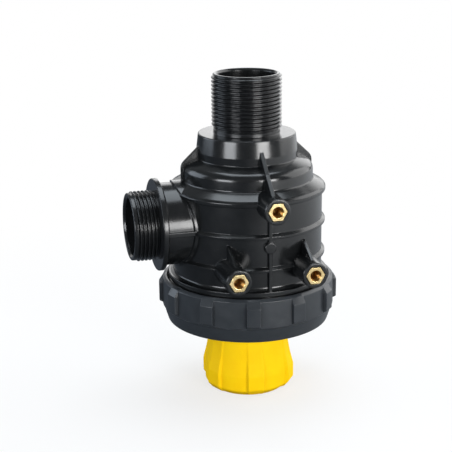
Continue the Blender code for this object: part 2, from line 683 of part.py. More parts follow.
def make_valve_seat(plastic, rubber):
    """The seat screwed up into the chamber's lower end, and its seal. It gives the flange's lower side."""
    flange_top = CHAMBER_LOW_Z - FIT
    flange_low = flange_top - SEAT_FLANGE_THICK
    groove_low = CHAMBER_LOW_Z + SEAT_GROOVE_RISE
    groove_high = groove_low + SEAT_GROOVE_HEIGHT
    lip_low = SEAT_TOP_Z - SEAT_LIP
    turned("valve_seat", [
        (SEAT_BORE_R, SEAT_TOP_Z),
        (SEAT_BORE_R + SEAT_LEAD_IN, SEAT_TOP_Z),
        (SEAT_BORE_R + SEAT_LEAD_IN + SEAT_LIP, lip_low),
        (SEAT_R, lip_low),
        (SEAT_R, groove_high),
        (SEAT_GROOVE_R, groove_high),
        (SEAT_GROOVE_R, groove_low),
        (SEAT_R, groove_low),
        (SEAT_R, flange_top),
        (SEAT_FLANGE_R, flange_top),
        (SEAT_FLANGE_R, flange_low),
        (SEAT_BORE_R + SEAT_LEAD_IN, flange_low),
        (SEAT_BORE_R, flange_low + SEAT_LEAD_IN),
    ], MEDIUM_STEPS, plastic)
    o_ring("seat_o_ring", SEAT_GROOVE_R + FIT, SEAT_R, (groove_low + groove_high) / 2, MEDIUM_STEPS, rubber)
    return flange_low


def make_valve(home, plastic, rubber):
    """The plunger, held open by the push rod: disc, stem, rubber face and the nut under it.

    It gives the heights of the nut's lower side and of the disc's upper side."""
    seal_low = SEAT_TOP_Z + FIT + VALVE_LIFT
    disc_low = seal_low + SEAL_THICK + FIT
    disc_top = disc_low + DISC_THICK
    nut_top = seal_low - FIT
    nut_low = nut_top - RETAINER_THICK
    neck_low = nut_low + EDGE
    turned("valve_plunger", [
        (0, STEM_TOP_Z),
        (STEM_R - EDGE, STEM_TOP_Z),
        (STEM_R, STEM_TOP_Z - EDGE),
        (STEM_R, disc_top + STEM_FOOT),
        (STEM_R + STEM_FOOT, disc_top),
        (DISC_R - EDGE, disc_top),
        (DISC_R, disc_top - EDGE),
        (DISC_R, disc_low),
        (VALVE_NECK_R, disc_low),
        (VALVE_NECK_R, neck_low),
        (0, neck_low),
    ], SMALL_STEPS, plastic, home)
    cup_r = VALVE_NECK_R + FIT
    turned("plunger_seal", rectangle(cup_r, SEAL_R, seal_low, disc_low - FIT), MEDIUM_STEPS, rubber, home)
    nut = prism("seal_retainer", polygon(6, RETAINER_R), nut_low, nut_top, "Z", plastic, home)
    cup = [(0, nut_top + CUT_PAST), (cup_r, nut_top + CUT_PAST), (cup_r, neck_low - FIT), (0, neck_low - FIT)]
    boolean(nut, turned("retainer_cup", cup, SMALL_STEPS, None, home), "DIFFERENCE")
    return nut_low, disc_top


def make_spring(low, high, steel):
    """A round wire spring between the plunger's disc and the guide, wound as a helix."""
    start = low + FIT + SPRING_WIRE_R
    rise = high - FIT - SPRING_WIRE_R - start
    count = int(SPRING_TURNS * SPRING_TURN_STEPS)
    curve = bpy.data.curves.new("valve_spring", "CURVE")
    curve.dimensions = "3D"
    curve.bevel_depth = SPRING_WIRE_R * MM
    curve.bevel_resolution = 1
    curve.use_fill_caps = True
    curve.materials.append(steel)
    spline = curve.splines.new("POLY")
    spline.points.add(count)
    for index, point in enumerate(spline.points):
        share = index / count
        x, y = polar(SPRING_R, math.tau * SPRING_TURNS * share)
        point.co = (x * MM, y * MM, (start + rise * share) * MM, 1)
    bpy.context.scene.collection.objects.link(bpy.data.objects.new("valve_spring", curve))


def cut_windows(cage, low, high, home):
    """Rows of windows through the cage's wall, with radial sides."""
    pitch = (high - low + CAGE_RIB) / CAGE_ROWS
    half_turn = math.pi / CAGE_COLUMNS - CAGE_RIB / CAGE_R / 2
    inside = CAGE_R - CAGE_WALL - JOIN
    outside = CAGE_R + CUT_PAST
    across = [
        polar(inside, -half_turn),
        polar(outside, -half_turn),
        polar(outside, half_turn),
        polar(inside, half_turn),
    ]
    for row in range(CAGE_ROWS):
        bottom = low + pitch * row
        for column in range(CAGE_COLUMNS):
            window = prism(f"window_{row}_{column}", across, bottom, bottom + pitch - CAGE_RIB, "Z", None, home)
            window.data.transform(Matrix.Rotation(math.tau * column / CAGE_COLUMNS, 4, "Z"))
            boolean(cage, window, "DIFFERENCE")


def make_cartridge(home, seat_low, plastic, steel, rubber):
    """The filter cartridge between the lid and the valve seat: cage, mesh and two gaskets."""
    low_gasket = LID_SEAT_Z + FIT
    high_gasket = seat_low - FIT - GASKET_THICK
    for name, low, outer_r in (
        ("bottom_gasket", low_gasket, LOW_GASKET_R),
        ("top_gasket", high_gasket, TOP_GASKET_R),
    ):
        section = rectangle(outer_r - GASKET_WIDTH, outer_r, low, low + GASKET_THICK)
        turned(name, section, MEDIUM_STEPS, rubber, home)
    cage_low = low_gasket + GASKET_THICK + FIT
    cage_top = high_gasket - FIT
    floor_top = cage_low + CAGE_FLOOR
    roof_low = cage_top - CAGE_FLOOR
    inner_r = CAGE_R - CAGE_WALL
    cage = turned("cartridge_cage", [
        (CAGE_R, cage_top),
        (CAGE_R, cage_low),
        (CAGE_GUIDE_R, cage_low),
        (CAGE_GUIDE_R, floor_top + CAGE_GUIDE_RISE),
        (CAGE_GUIDE_R + CAGE_GUIDE_WALL, floor_top + CAGE_GUIDE_RISE),
        (CAGE_GUIDE_R + CAGE_GUIDE_WALL, floor_top),
        (inner_r, floor_top),
        (inner_r, roof_low),
        (CAGE_MOUTH_R, roof_low),
        (CAGE_MOUTH_R, cage_top),
    ], MEDIUM_STEPS, plastic, home)
    cut_windows(cage, cage_low + CAGE_RING, cage_top - CAGE_RING, home)
    mesh_r = inner_r - FIT
    tube = rectangle(mesh_r - MESH_THICK, mesh_r, floor_top + FIT, roof_low - FIT)
    turned("mesh_screen", tube, MEDIUM_STEPS, steel, home)


def make_lid(home, plastic, rubber):
    """The bottom cover: flange, spigot with its O-ring groove, cartridge seat, rod gland and hub."""
    bore_r = ROD_R + FIT
    groove_high = LID_GROOVE_Z + LID_GROOVE_HEIGHT
    dish_z = LID_FLANGE_Z + LID_DISH
    turned("lid", [
        (bore_r, LID_SEAT_Z + LID_GUIDE_RISE),
        (LID_GUIDE_R, LID_SEAT_Z + LID_GUIDE_RISE),
        (LID_GUIDE_R, LID_FLOOR_Z),
        (LID_SEAT_INNER_R, LID_FLOOR_Z),
        (LID_SEAT_INNER_R, LID_SEAT_Z),
        (LID_SPIGOT_R - EDGE, LID_SEAT_Z),
        (LID_SPIGOT_R, LID_SEAT_Z - EDGE),
        (LID_SPIGOT_R, groove_high),
        (LID_GROOVE_R, groove_high),
        (LID_GROOVE_R, LID_GROOVE_Z),
        (LID_SPIGOT_R, LID_GROOVE_Z),
        (LID_SPIGOT_R, LID_FLANGE_TOP_Z),
        (LID_R, LID_FLANGE_TOP_Z),
        (LID_R, LID_FLANGE_Z),
        (NUT_FLANGE_R - LID_DISH, LID_FLANGE_Z),
        (NUT_FLANGE_R - 2 * LID_DISH, dish_z),
        (HUB_R + HUB_FLARE, dish_z),
        (HUB_R, LID_FLANGE_Z - LID_DISH),
        (HUB_R, HUB_LOW_Z + HUB_EDGE),
        (HUB_R - HUB_EDGE, HUB_LOW_Z),
        (HUB_INNER_R, HUB_LOW_Z),
        (HUB_INNER_R, HUB_CEILING_Z),
        (GLAND_R, HUB_CEILING_Z),
        (GLAND_R, GLAND_TOP_Z),
        (bore_r, GLAND_TOP_Z),
    ], MEDIUM_STEPS, plastic, home)
    ring_middle = (LID_GROOVE_Z + groove_high) / 2
    o_ring("lid_o_ring", LID_GROOVE_R + FIT, LID_SPIGOT_R, ring_middle, MEDIUM_STEPS, rubber, home)


def make_gland(home, rubber, plastic):
    """The rod's seal at the top of the gland, and the bush that keeps it there."""
    outer_r = GLAND_R - FIT
    inner_r = ROD_R + FIT
    section_r = (outer_r - inner_r) / 2
    ring_z = GLAND_TOP_Z - FIT - section_r
    o_ring("rod_o_ring", inner_r, outer_r, ring_z, SMALL_STEPS, rubber, home)
    bush_top = ring_z - section_r - FIT
    flange_top = HUB_CEILING_Z - FIT
    flange_r = outer_r + BUSH_FLANGE
    turned("rod_bush", [
        (outer_r, bush_top),
        (outer_r, flange_top),
        (flange_r, flange_top),
        (flange_r, flange_top - BUSH_FLANGE_THICK),
        (inner_r, flange_top - BUSH_FLANGE_THICK),
        (inner_r, bush_top),
    ], SMALL_STEPS, plastic, home)


def spread_round(target, name, outline, width, count, phase, home):
    """Joins equal pieces to the target, evenly round the axis. The outline is (radius, height)."""
    for index in range(count):
        piece = prism(f"{name}_{index}", outline, -width / 2, width / 2, "X", None, home)
        turn = math.radians(phase) + math.tau * index / count
        piece.data.transform(Matrix.Rotation(turn - math.pi / 2, 4, "Z"))
        boolean(target, piece, "UNION")


def make_ring_nut(home, plastic):
    """The union nut: a threaded ring with an inward flange under the lid, and lugs round its outside."""
    step_r = NUT_R + NUT_DRAFT
    nut = turned("ring_nut", rounded([
        (NUT_BORE_R, NUT_HIGH_Z),
        (NUT_R - NUT_EDGE, NUT_HIGH_Z),
        (NUT_R, NUT_HIGH_Z - NUT_EDGE),
        (step_r, NUT_STEP_Z),
        (step_r - NUT_STEP_DEPTH, NUT_STEP_Z - NUT_STEP_DROP),
        (NUT_R - NUT_EDGE, NUT_STEP_Z - NUT_BELLY_DROP, NUT_BELLY_ROUNDING),
        (NUT_FOOT_R, NUT_LOW_Z, EDGE),
        (NUT_FLANGE_R, NUT_LOW_Z),
        (NUT_FLANGE_R, NUT_FLANGE_TOP_Z),
        (NUT_BORE_R, NUT_FLANGE_TOP_Z),
    ]), ROUND_STEPS, plastic, home)
    lug_low = NUT_STEP_Z + NUT_LUG_LIFT
    lug_side = [
        (NUT_R - NUT_EDGE, NUT_HIGH_Z - NUT_EDGE / 2),
        (NUT_R, NUT_HIGH_Z - NUT_EDGE),
        (NUT_LUG_R, NUT_HIGH_Z - NUT_LUG_SLOPE),
        (NUT_LUG_R, lug_low + NUT_LUG_FOOT_SLOPE),
        (step_r, lug_low),
        (NUT_R - NUT_EDGE, lug_low),
    ]
    spread_round(nut, "nut_lug", lug_side, NUT_LUG_WIDTH, NUT_LUGS, NUT_LUG_PHASE, home)


def make_cap(home, plastic):
    """The screw knob: a cup with six flared grip ribs, a boss for the rod and a pocket for its screw."""
    bore_r = ROD_R + FIT
    cap = turned("cap", rounded([
        (CAP_INNER_R, CAP_TOP_Z),
        (CAP_R - EDGE, CAP_TOP_Z),
        (CAP_R, CAP_TOP_Z - EDGE),
        (CAP_R, CAP_RIB_TOP_Z),
        (CAP_SKIRT_R, CAP_SKIRT_Z),
        (CAP_SKIRT_R, CAP_SIDE_LOW_Z),
        (CAP_FOOT_R, CAP_FOOT_LIFT, EDGE),
        (CAP_FOOT_R - CAP_FOOT_BEVEL, 0),
        (CAP_POCKET_R, 0),
        (CAP_POCKET_R, CAP_POCKET_Z),
        (bore_r, CAP_POCKET_Z),
        (bore_r, CAP_BOSS_TOP_Z),
        (CAP_BOSS_R, CAP_BOSS_TOP_Z),
        (CAP_BOSS_R, CAP_FLOOR),
        (CAP_INNER_R, CAP_FLOOR),
    ]), ROUND_STEPS, plastic, home)
    rib_root = CAP_INNER_R + JOIN
    rib_side = [
        (rib_root, CAP_RIB_TOP_Z),
        (CAP_R, CAP_RIB_TOP_Z),
        (CAP_R + CAP_RIB_FLARE, CAP_RIB_FLARE_Z),
        (CAP_RIB_R, CAP_RIB_HIGH_Z),
        (CAP_RIB_R, CAP_RIB_LOW_Z),
        (CAP_FOOT_R + JOIN, CAP_RIB_FOOT_Z),
        (rib_root, CAP_FOOT_LIFT),
    ]
    spread_round(cap, "cap_rib", rib_side, CAP_RIB_WIDTH, CAP_RIBS, CAP_RIB_PHASE, home)


def make_cap_plug(home, plastic):
    """The push-in cover of the screw's pocket, flush with the cap's foot."""
    outer_r = CAP_POCKET_R - FIT
    turned("cap_plug", [
        (0, PLUG_THICK),
        (outer_r - PLUG_WALL, PLUG_THICK),
        (outer_r - PLUG_WALL, PLUG_SKIRT),
        (outer_r, PLUG_SKIRT),
        (outer_r, 0),
        (0, 0),
    ], MEDIUM_STEPS, plastic, home)


def make_push_rod(home, rod_top, plastic, steel):
    """The rod from the cap's boss to the valve, and the screw and washer that hold the cap on it."""
    collar_low = CAP_BOSS_TOP_Z + FIT
    tail_low = CAP_POCKET_Z + FIT
    hole_r = SCREW_R + FIT
    hole_top = tail_low + SCREW_DEPTH
    turned("push_rod", [
        (0, rod_top),
        (ROD_R - EDGE, rod_top),
        (ROD_R, rod_top - EDGE),
        (ROD_R, collar_low + ROD_COLLAR_HEIGHT),
        (ROD_COLLAR_R, collar_low + ROD_COLLAR_HEIGHT),
        (ROD_COLLAR_R, collar_low),
        (ROD_R, collar_low),
        (ROD_R, tail_low),
        (hole_r, tail_low),
        (hole_r, hole_top),
        (0, hole_top),
    ], SMALL_STEPS, plastic, home)
    washer_top = CAP_POCKET_Z - FIT
    washer_low = washer_top - WASHER_THICK
    turned("rod_washer", rectangle(hole_r, WASHER_R, washer_low, washer_top), SMALL_STEPS, steel, home)
    head_top = washer_low - FIT
    head_low = head_top - SCREW_HEAD_HEIGHT
    screw = turned("rod_screw", [
        (0, hole_top - SCREW_TIP_ROOM),
        (SCREW_R, hole_top - SCREW_TIP_ROOM),
        (SCREW_R, head_top),
        (SCREW_HEAD_R, head_top),
        (SCREW_HEAD_R, head_low + EDGE),
        (SCREW_HEAD_R - EDGE, head_low),
        (0, head_low),
    ], SMALL_STEPS, steel, home)
    socket = prism(
        "screw_socket", polygon(6, SCREW_R), head_low - CUT_PAST, head_low + SCREW_SOCKET_DEPTH, "Z", None, home
    )
    boolean(screw, socket, "DIFFERENCE")


def build():
    clear_scene()
    black = material("black_plastic", (0.018, 0.019, 0.021), 0.28)
    slate = material("slate_plastic", (0.055, 0.062, 0.072), 0.42)
    yellow = material("yellow_plastic", (0.92, 0.62, 0.01), 0.35)
    brass = material("brass", (0.83, 0.62, 0.28), 0.28, 1.0)
    rubber = material("rubber", (0.03, 0.03, 0.03), 0.7)
    steel = material("steel", (0.6, 0.6, 0.6), 0.3, 1.0)
    white = material("natural_plastic", (0.72, 0.73, 0.70), 0.4)

    make_housing(black)
    make_inserts(brass)
    arms_low = make_spring_guide(white)
    seat_low = make_valve_seat(white, rubber)

    valve_home = axis_empty("valve_axis", SEAT_TOP_Z)
    nut_low, disc_top = make_valve(valve_home, white, rubber)
    make_spring(disc_top, arms_low, steel)

    cartridge_home = axis_empty("cartridge_axis", LID_SEAT_Z)
    make_cartridge(cartridge_home, seat_low, white, steel, rubber)

    lid_home = axis_empty("lid_axis", LID_FLANGE_Z)
    make_lid(lid_home, black, rubber)
    make_gland(lid_home, rubber, white)
    make_ring_nut(axis_empty("ring_nut_axis", NUT_LOW_Z), slate)

    make_push_rod(axis_empty("rod_axis", CAP_BOSS_TOP_Z), nut_low - ROD_SLACK, white, steel)
    cap_home = axis_empty("cap_axis", 0.0)
    make_cap(cap_home, yellow)
    make_cap_plug(cap_home, yellow)


build()
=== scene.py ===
"""The looks of the suction filter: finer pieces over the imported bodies, materials, light and camera.

Sizes are in millimetres and MM turns them into metres. Z is up from the cap's foot, the port points along
-X and the bosses face -Y. All threads are real right-handed helices.
"""
from math import acos, atan, cos, hypot, pi, radians, sin, sqrt, tan, tau

import bmesh
import bpy
import numpy as np
from mathutils import Matrix, Vector


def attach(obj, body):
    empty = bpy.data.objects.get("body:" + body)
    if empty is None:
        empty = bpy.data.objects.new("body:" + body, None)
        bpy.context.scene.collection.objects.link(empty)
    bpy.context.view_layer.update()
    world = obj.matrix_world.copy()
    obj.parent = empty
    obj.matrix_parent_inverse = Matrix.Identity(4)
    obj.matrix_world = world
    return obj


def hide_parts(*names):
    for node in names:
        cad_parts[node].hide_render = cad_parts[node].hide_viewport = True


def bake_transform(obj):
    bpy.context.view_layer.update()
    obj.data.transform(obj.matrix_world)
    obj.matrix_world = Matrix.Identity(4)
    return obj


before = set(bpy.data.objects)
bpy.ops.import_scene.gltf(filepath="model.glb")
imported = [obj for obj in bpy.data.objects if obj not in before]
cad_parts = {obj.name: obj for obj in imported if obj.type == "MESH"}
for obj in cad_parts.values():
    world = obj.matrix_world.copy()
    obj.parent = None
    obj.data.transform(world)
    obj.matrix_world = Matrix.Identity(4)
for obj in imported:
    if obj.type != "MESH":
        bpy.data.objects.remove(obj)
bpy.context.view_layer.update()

MM = 0.001
FIT = 0.3
JOIN = 1.5
CUT_PAST = 5.0
ARC_STEPS, SMALL_STEPS, ROUND_STEPS, PORT_STEPS, DRUM_STEPS = 4, 64, 96, 112, 144
SHARP, THREAD_SHARP = 32, 40
WELD_DISTANCE = 1e-7

# The photograph's view: how far the filter is turned, the lens, and the camera's place and lean
VIEW_TURN = radians(16.52)
LENS, SENSOR = 89.1, 36.0
CAMERA_DISTANCE, CAMERA_HEIGHT = 656.8, 296.67
CAMERA_PITCH, CAMERA_YAW, CAMERA_ROLL = 0.2878, VIEW_TURN - 0.0198, 0.011

# Heights above the cap's foot
CAP_TOP = 39.0
CAP_FLOOR, CAP_POCKET, CAP_BOSS_TOP = 4.5, 8.0, 16.0
HUB_LOW, HUB_CEILING, GLAND_TOP = 15.3, 44.0, 49.0
NUT_LOW, NUT_FLANGE_TOP, NUT_STEP, NUT_HIGH = 45.5, 50.2, 55.2, 72.8
LID_FLANGE, LID_FLANGE_TOP, RIM, LID_SEAT = 50.5, 56.7, 57.0, 62.0
CAGE_LOW, CAGE_HIGH = 64.8, 127.3
LIP_LOW, LIP_HIGH = 72.6, 75.7
BEADS = (127.6, 108.2, 88.4)
SHOULDER_LOW, SHOULDER_HIGH, COLLAR_TOP, SPIGOT_TOP = 133.6, 146.2, 161.0, 196.4
SPIGOT_FOOT = SPIGOT_TOP - 33.5
CHAMBER_LOW, CHAMBER_ROOF, SEAT_TOP = 133.0, 157.0, 139.5
ROD_TOP, DISC_LOW, DISC_TOP, STEM_TOP = 144.2, 150.3, 153.3, 187.0
GUIDE_STOP, GUIDE_HEIGHT, GUIDE_HUB_DROP = 176.0, 4.0, 4.0
GUIDE_TOP = GUIDE_STOP - FIT
ARM_LOW, ARM_HIGH = 172.1, 175.3

# Radii of the housing
PIPE_ROOT_R, PIPE_BORE_R = 19.476, 17.4
PIPE_RELIEF_R = PIPE_ROOT_R + 0.5
DRUM_R, DRUM_INNER_R, BEAD_R = 45.3, 41.1, 47.3
LIP_R, BASE_ROOT_R, BASE_SWEEP_R = 48.7, 46.8, 2.4
SHOULDER_R, COLLAR_TOP_R, COLLAR_FOOT_R = 39.7, 29.2, 30.5
CHAMBER_R, CHAMBER_TUBE_R = 24.0, 27.5
WALL = 4.2

# Side port, bosses and ribs
PORT_Z, PORT_END, PORT_FLANGE_NEAR, PORT_FLANGE_FAR = 108.2, 73.4, 54.8, 57.9
PORT_FLANGE_R, PORT_NECK_R, PORT_SADDLE_R, SADDLE_RISE = 27.7, 24.7, 25.9, 1.4
BOSS_FACE, BOSS_R, BOSS_SIDE, BOSS_HIGH, BOSS_LOW = 60.3, 7.6, 22.7, 126.9, 87.4
BOSS_SINK = 15.0
INSERT_FLATS, INSERT_LENGTH, INSERT_PROUD = 10.0, 12.0, 0.4
INSERT_HOLE_R, INSERT_THREAD = 2.85, 9.0
RIB_WIDTH, RIB_RISE, RIB_SINK, RIB_EDGE = 2.2, 2.0, 2.0, 0.5
PAD_R, PAD_Z = 3.4, PORT_Z - 6.2
FIN_TOP, FIN_KNEE_R, FIN_KNEE_Z = SHOULDER_HIGH + 8.3, SHOULDER_R + 1.3, SHOULDER_HIGH - 2.2
FIN_DROP, FIN_FOOT = 1.1, SHOULDER_HIGH - 3.6

# Ring nut and cap
NUT_R, NUT_BORE_R, NUT_FOOT_R, NUT_FLANGE_R, LUG_R = 52.5, 49.8, 49.5, 41.5, 54.9
LUGS, LUG_PHASE, LUG_HALF_WIDTH, LUG_EDGE = 12, radians(17.2), 4.2, 0.06
CAP_R, CAP_INNER_R, CAP_FOOT_R, CAP_SKIRT_R, CAP_RIB_R = 24.3, 20.9, 24.0, 27.0, 28.5
CAP_RIBS, CAP_RIB_PHASE, CAP_RIB_HALF, CAP_RIB_EDGE = 6, radians(24.0), 5.5, 0.12
CAP_POCKET_R, CAP_BOSS_R = 9.4, 11.5
PLUG_THICK, PLUG_WALL, PLUG_SKIRT = 1.6, 1.3, 5.0

# Lid, rod and cartridge
HUB_R, HUB_INNER_R, GLAND_R = 19.4, 16.0, 7.0
LID_R, LID_SPIGOT_R, LID_GROOVE_R, LID_DISH_R, LID_GUIDE_R = 46.4, 40.8, 38.4, 24.0, 9.0
LID_GROOVE_LOW, LID_GROOVE_HIGH = LID_FLANGE_TOP + 1.5, LID_FLANGE_TOP + 4.2
ROD_R, ROD_COLLAR_R, ROD_HOLE_R = 4.0, 6.6, 2.2
ROD_BORE_R = ROD_R + FIT
ROD_COLLAR_LOW, ROD_COLLAR_HIGH = 16.3, 19.3
WASHER_LOW, WASHER_HIGH, WASHER_R = 6.7, 7.7, 8.6
SCREW_LOW, SCREW_NECK, SCREW_TOP, SCREW_R, SCREW_HEAD_R = 3.8, 6.4, 17.3, 1.9, 3.9
BUSH_LOW, BUSH_STEP, BUSH_TOP, BUSH_R = 42.4, 43.7, 46.0, GLAND_R - FIT
CAGE_R, CAGE_WALL, CAGE_COLUMNS, CAGE_ROWS, CAGE_RIB, CAGE_RING = 31.5, 2.3, 6, 2, 3.0, 4.5
CAGE_MOUTH_R, CAGE_GUIDE_R, CAGE_TUBE_R = 20.0, 4.6, 7.0
GASKET_THICK, GASKET_WIDTH, TOP_GASKET_R = 2.2, 4.5, 26.5
MESH_COLUMNS, MESH_ROWS, WIRE = 96, 44, 0.5

# Valve
STEM_R, STEM_FOOT, DISC_R, VALVE_NECK_R, VALVE_NECK_LOW = 3.5, 2.0, 18.5, 4.5, 145.1
SEAL_LOW, SEAL_HIGH, SEAL_R, RETAINER_LOW, RETAINER_R = 147.8, 150.0, 17.3, 144.5, 8.5
SEAT_BORE_R, SEAT_LIP_R, SEAT_R, SEAT_GROOVE_R, SEAT_FLANGE_R = 14.0, 15.2, 23.7, 21.8, 27.4
SEAT_LIP, SEAT_FLANGE_LOW, SEAT_FLANGE_HIGH = 1.0, 130.1, 132.7
SEAT_GROOVE_LOW, SEAT_GROOVE_HIGH = 134.4, 136.8
GUIDE_R, GUIDE_WALL, GUIDE_HUB_R, GUIDE_ARMS, GUIDE_ARM_WIDTH = PIPE_BORE_R - FIT, 2.4, 6.4, 3, 2.6
SPRING_R, SPRING_WIRE_R, SPRING_TURNS, SPRING_FLAT, SPRING_STEPS = 9.5, 0.7, 4.5, 0.75, 220

# Threads: pitch and depth, and how far apart their rings lie
PIPE_PITCH, PIPE_DEPTH, PIPE_RING = 2.309, 1.479, 0.19
PIPE_THREAD = (PIPE_ROOT_R, PIPE_DEPTH, PIPE_PITCH)
BASE_PITCH, BASE_DEPTH, BASE_RING = 6.0, 2.3, 0.35
CAP_PITCH, CAP_DEPTH, CAP_RING = 4.0, 1.1, 0.35
INSERT_PITCH, INSERT_DEPTH, INSERT_RING = 1.0, 0.3, 0.12
NUT_RING = 0.4
THREAD_STEPS, BASE_THREAD_STEPS = 216, 180

# Materials: the size of the tone's patches, where pointiness reads as a corner that gets painted shade, and
# where it reads as an edge
PATCH_SIZE = 9.0
PAINTED_SHADE_CORNER = (0.42, 0.49)
WORN_EDGE = (0.53, 0.62)

# Floor, in metres: its reach, the shadow's fade to white, and the stretch over which the floor's colour for
# reflections brightens from painted shade on the left
FLOOR_REACH = 12.0
FLOOR_FADE = (0.08, 0.4)
FLOOR_BRIGHTENS = (-0.05, 0.6)
FLOOR_SEEN = (0.82, 0.82, 0.82)
FLOOR_LEFT_PAINTED_SHADE, FLOOR_RIGHT = (0.09, 0.10, 0.115), (0.9, 0.9, 0.9)


# Outlines and meshes


def rounded(corners, steps=ARC_STEPS):
    """An outline with its corners rounded. Each corner is (r, z) or (r, z, fillet radius)."""
    points = []
    for index, corner in enumerate(corners):
        here = Vector(corner[:2])
        radius = corner[2] if len(corner) > 2 else 0.0
        if not radius:
            points.append(tuple(here))
            continue
        before = (Vector(corners[index - 1][:2]) - here).normalized()
        after = (Vector(corners[(index + 1) % len(corners)][:2]) - here).normalized()
        half = before.angle(after) / 2
        centre = here + (before + after).normalized() * (radius / sin(half))
        start = here + before * (radius / tan(half)) - centre
        end = here + after * (radius / tan(half)) - centre
        sweep = start.angle(end)
        for step in range(steps + 1):
            share = step / steps
            along = start * sin((1 - share) * sweep) + end * sin(share * sweep)
            points.append(tuple(centre + along / sin(sweep)))
    return points


def levels(low, high, step):
    """Heights from low to high, evenly spaced by about the step."""
    count = max(1, round(abs(high - low) / step))
    return [low + (high - low) * index / count for index in range(count + 1)]


def even(steps):
    """Angles evenly round a circle."""
    return np.arange(steps) * tau / steps


def thread(angle, height, root, depth, pitch, low, high, fade=1.2):
    """The radius of a rounded right-handed thread. A negative depth cuts inwards."""
    turn = height / pitch - angle / tau
    saw = 1 - np.abs(2 * (turn - np.floor(turn)) - 1)
    crest = np.clip(saw * 1.5 - 0.25, 0, 1)
    crest = crest * crest * (3 - 2 * crest)
    ends = np.clip((height - low) / fade, 0, 1) * np.clip((high - height) / fade, 0, 1)
    return root + depth * crest * ends


def thread_rings(start, end, step, root, depth, pitch, low, high, fade=1.2, phase=0.0):
    """Rings from start to end, for skin, with a thread that runs out at low and high."""
    def ring(height):
        return lambda angles: thread(angles - phase, height, root, depth, pitch, low, high, fade)
    return [(ring(height), height) for height in levels(start, end, step)]


def make_mesh(name, verts, faces):
    """A mesh with its doubles welded and its faces pointing out."""
    mesh = bpy.data.meshes.new(name)
    mesh.from_pydata([tuple(v) for v in verts], [], faces)
    mesh.validate()
    bm = bmesh.new()
    bm.from_mesh(mesh)
    bmesh.ops.remove_doubles(bm, verts=bm.verts, dist=WELD_DISTANCE)
    bmesh.ops.recalc_face_normals(bm, faces=bm.faces)
    bm.to_mesh(mesh)
    bm.free()
    return mesh


def new_object(name, data):
    obj = bpy.data.objects.new(name, data)
    bpy.context.scene.collection.objects.link(obj)
    return obj


def shade(mesh, sharp=SHARP):
    mesh.shade_smooth()
    mesh.set_sharp_from_angle(angle=radians(sharp))
    return mesh


def add(name, mesh, finish=None, sharp=SHARP):
    """An object of a mesh, shaded smooth up to the sharp angle."""
    if finish:
        mesh.materials.append(finish)
    return new_object(name, shade(mesh, sharp))


def band(this, following, columns):
    """The faces between two rings of points, from the number of each ring's first point."""
    faces = []
    for column in range(columns):
        side = (column + 1) % columns
        faces.append((this + column, this + side, following + side, following + column))
    return faces


def skin(name, rings, angles, finish=None, sharp=SHARP):
    """A closed surface round Z. Each ring is (radius, height); a radius may be a function of the angles.

    Rings run round a closed section, or start and end on the axis."""
    angles = np.asarray(angles, float)
    columns = len(angles)
    points = np.empty((len(rings), columns, 3))
    for index, (radius, height) in enumerate(rings):
        reach = radius(angles) if callable(radius) else radius
        points[index, :, 0] = reach * np.cos(angles)
        points[index, :, 1] = reach * np.sin(angles)
        points[index, :, 2] = height
    on_axis = not callable(rings[0][0]) and rings[0][0] == 0
    last = len(rings) - 1 if on_axis else len(rings)
    faces = []
    for ring in range(last):
        faces += band(ring * columns, (ring + 1) % len(rings) * columns, columns)
    return add(name, make_mesh(name, points.reshape(-1, 3) * MM, faces), finish, sharp)


def turned(name, corners, finish=None, steps=ROUND_STEPS):
    """A piece turned from an outline."""
    return skin(name, rounded(corners), even(steps), finish)


def cylinder(name, radius, low, high, steps=SMALL_STEPS):
    return turned(name, [(0, high), (radius, high), (radius, low), (0, low)], steps=steps)


def washer(name, inner, outer, low, high, finish, steps=ROUND_STEPS):
    """A flat ring. inner and outer are (radius, fillet radius)."""
    sides = ((inner, low), (outer, low), (outer, high), (inner, high))
    return turned(name, [(radius, height, fillet) for (radius, fillet), height in sides], finish, steps)


def prism(name, outline, low, high, axis="Z", edge=0.0, finish=None):
    """A flat outline pushed along an axis, with its edges rounded off by edge."""
    orders = {"Z": (0, 1, 2), "X": (2, 0, 1), "Y": (0, 2, 1)}

    def place(*point):
        return [point[index] for index in orders[axis]]

    bm = bmesh.new()
    face = bm.faces.new([bm.verts.new([c * MM for c in place(u, v, low)]) for u, v in outline])
    pushed = bmesh.ops.extrude_face_region(bm, geom=[face])["geom"]
    verts = [item for item in pushed if isinstance(item, bmesh.types.BMVert)]
    bmesh.ops.translate(bm, verts=verts, vec=[c * (high - low) * MM for c in place(0, 0, 1)])
    if edge:
        bmesh.ops.bevel(
            bm, geom=list(bm.edges), offset=edge * MM, segments=3, profile=0.5, affect="EDGES",
            clamp_overlap=True,
        )
    bmesh.ops.recalc_face_normals(bm, faces=bm.faces)
    mesh = bpy.data.meshes.new(name)
    bm.to_mesh(mesh)
    bm.free()
    return add(name, mesh, finish)


def rectangle(u_low, u_high, v_low, v_high):
    return [(u_low, v_low), (u_high, v_low), (u_high, v_high), (u_low, v_high)]


def polygon(sides, radius, phase=0.0, centre=(0, 0)):
    turns = [phase + tau * index / sides for index in range(sides)]
    return [(centre[0] + radius * cos(turn), centre[1] + radius * sin(turn)) for turn in turns]


def evaluated(obj):
    bpy.context.view_layer.update()
    graph = bpy.context.evaluated_depsgraph_get()
    return bpy.data.meshes.new_from_object(obj.evaluated_get(graph))


def settle(obj):
    """Turns an object with modifiers into a plain mesh."""
    mesh = evaluated(obj)
    obj.modifiers.clear()
    obj.data = mesh
    return mesh


def weigh(obj):
    """Lets the larger faces set the shading, so that flat walls stay flat between their fillets."""
    modifier = obj.modifiers.new("weigh", "WEIGHTED_NORMAL")
    modifier.keep_sharp = True
    settle(obj)
    return obj


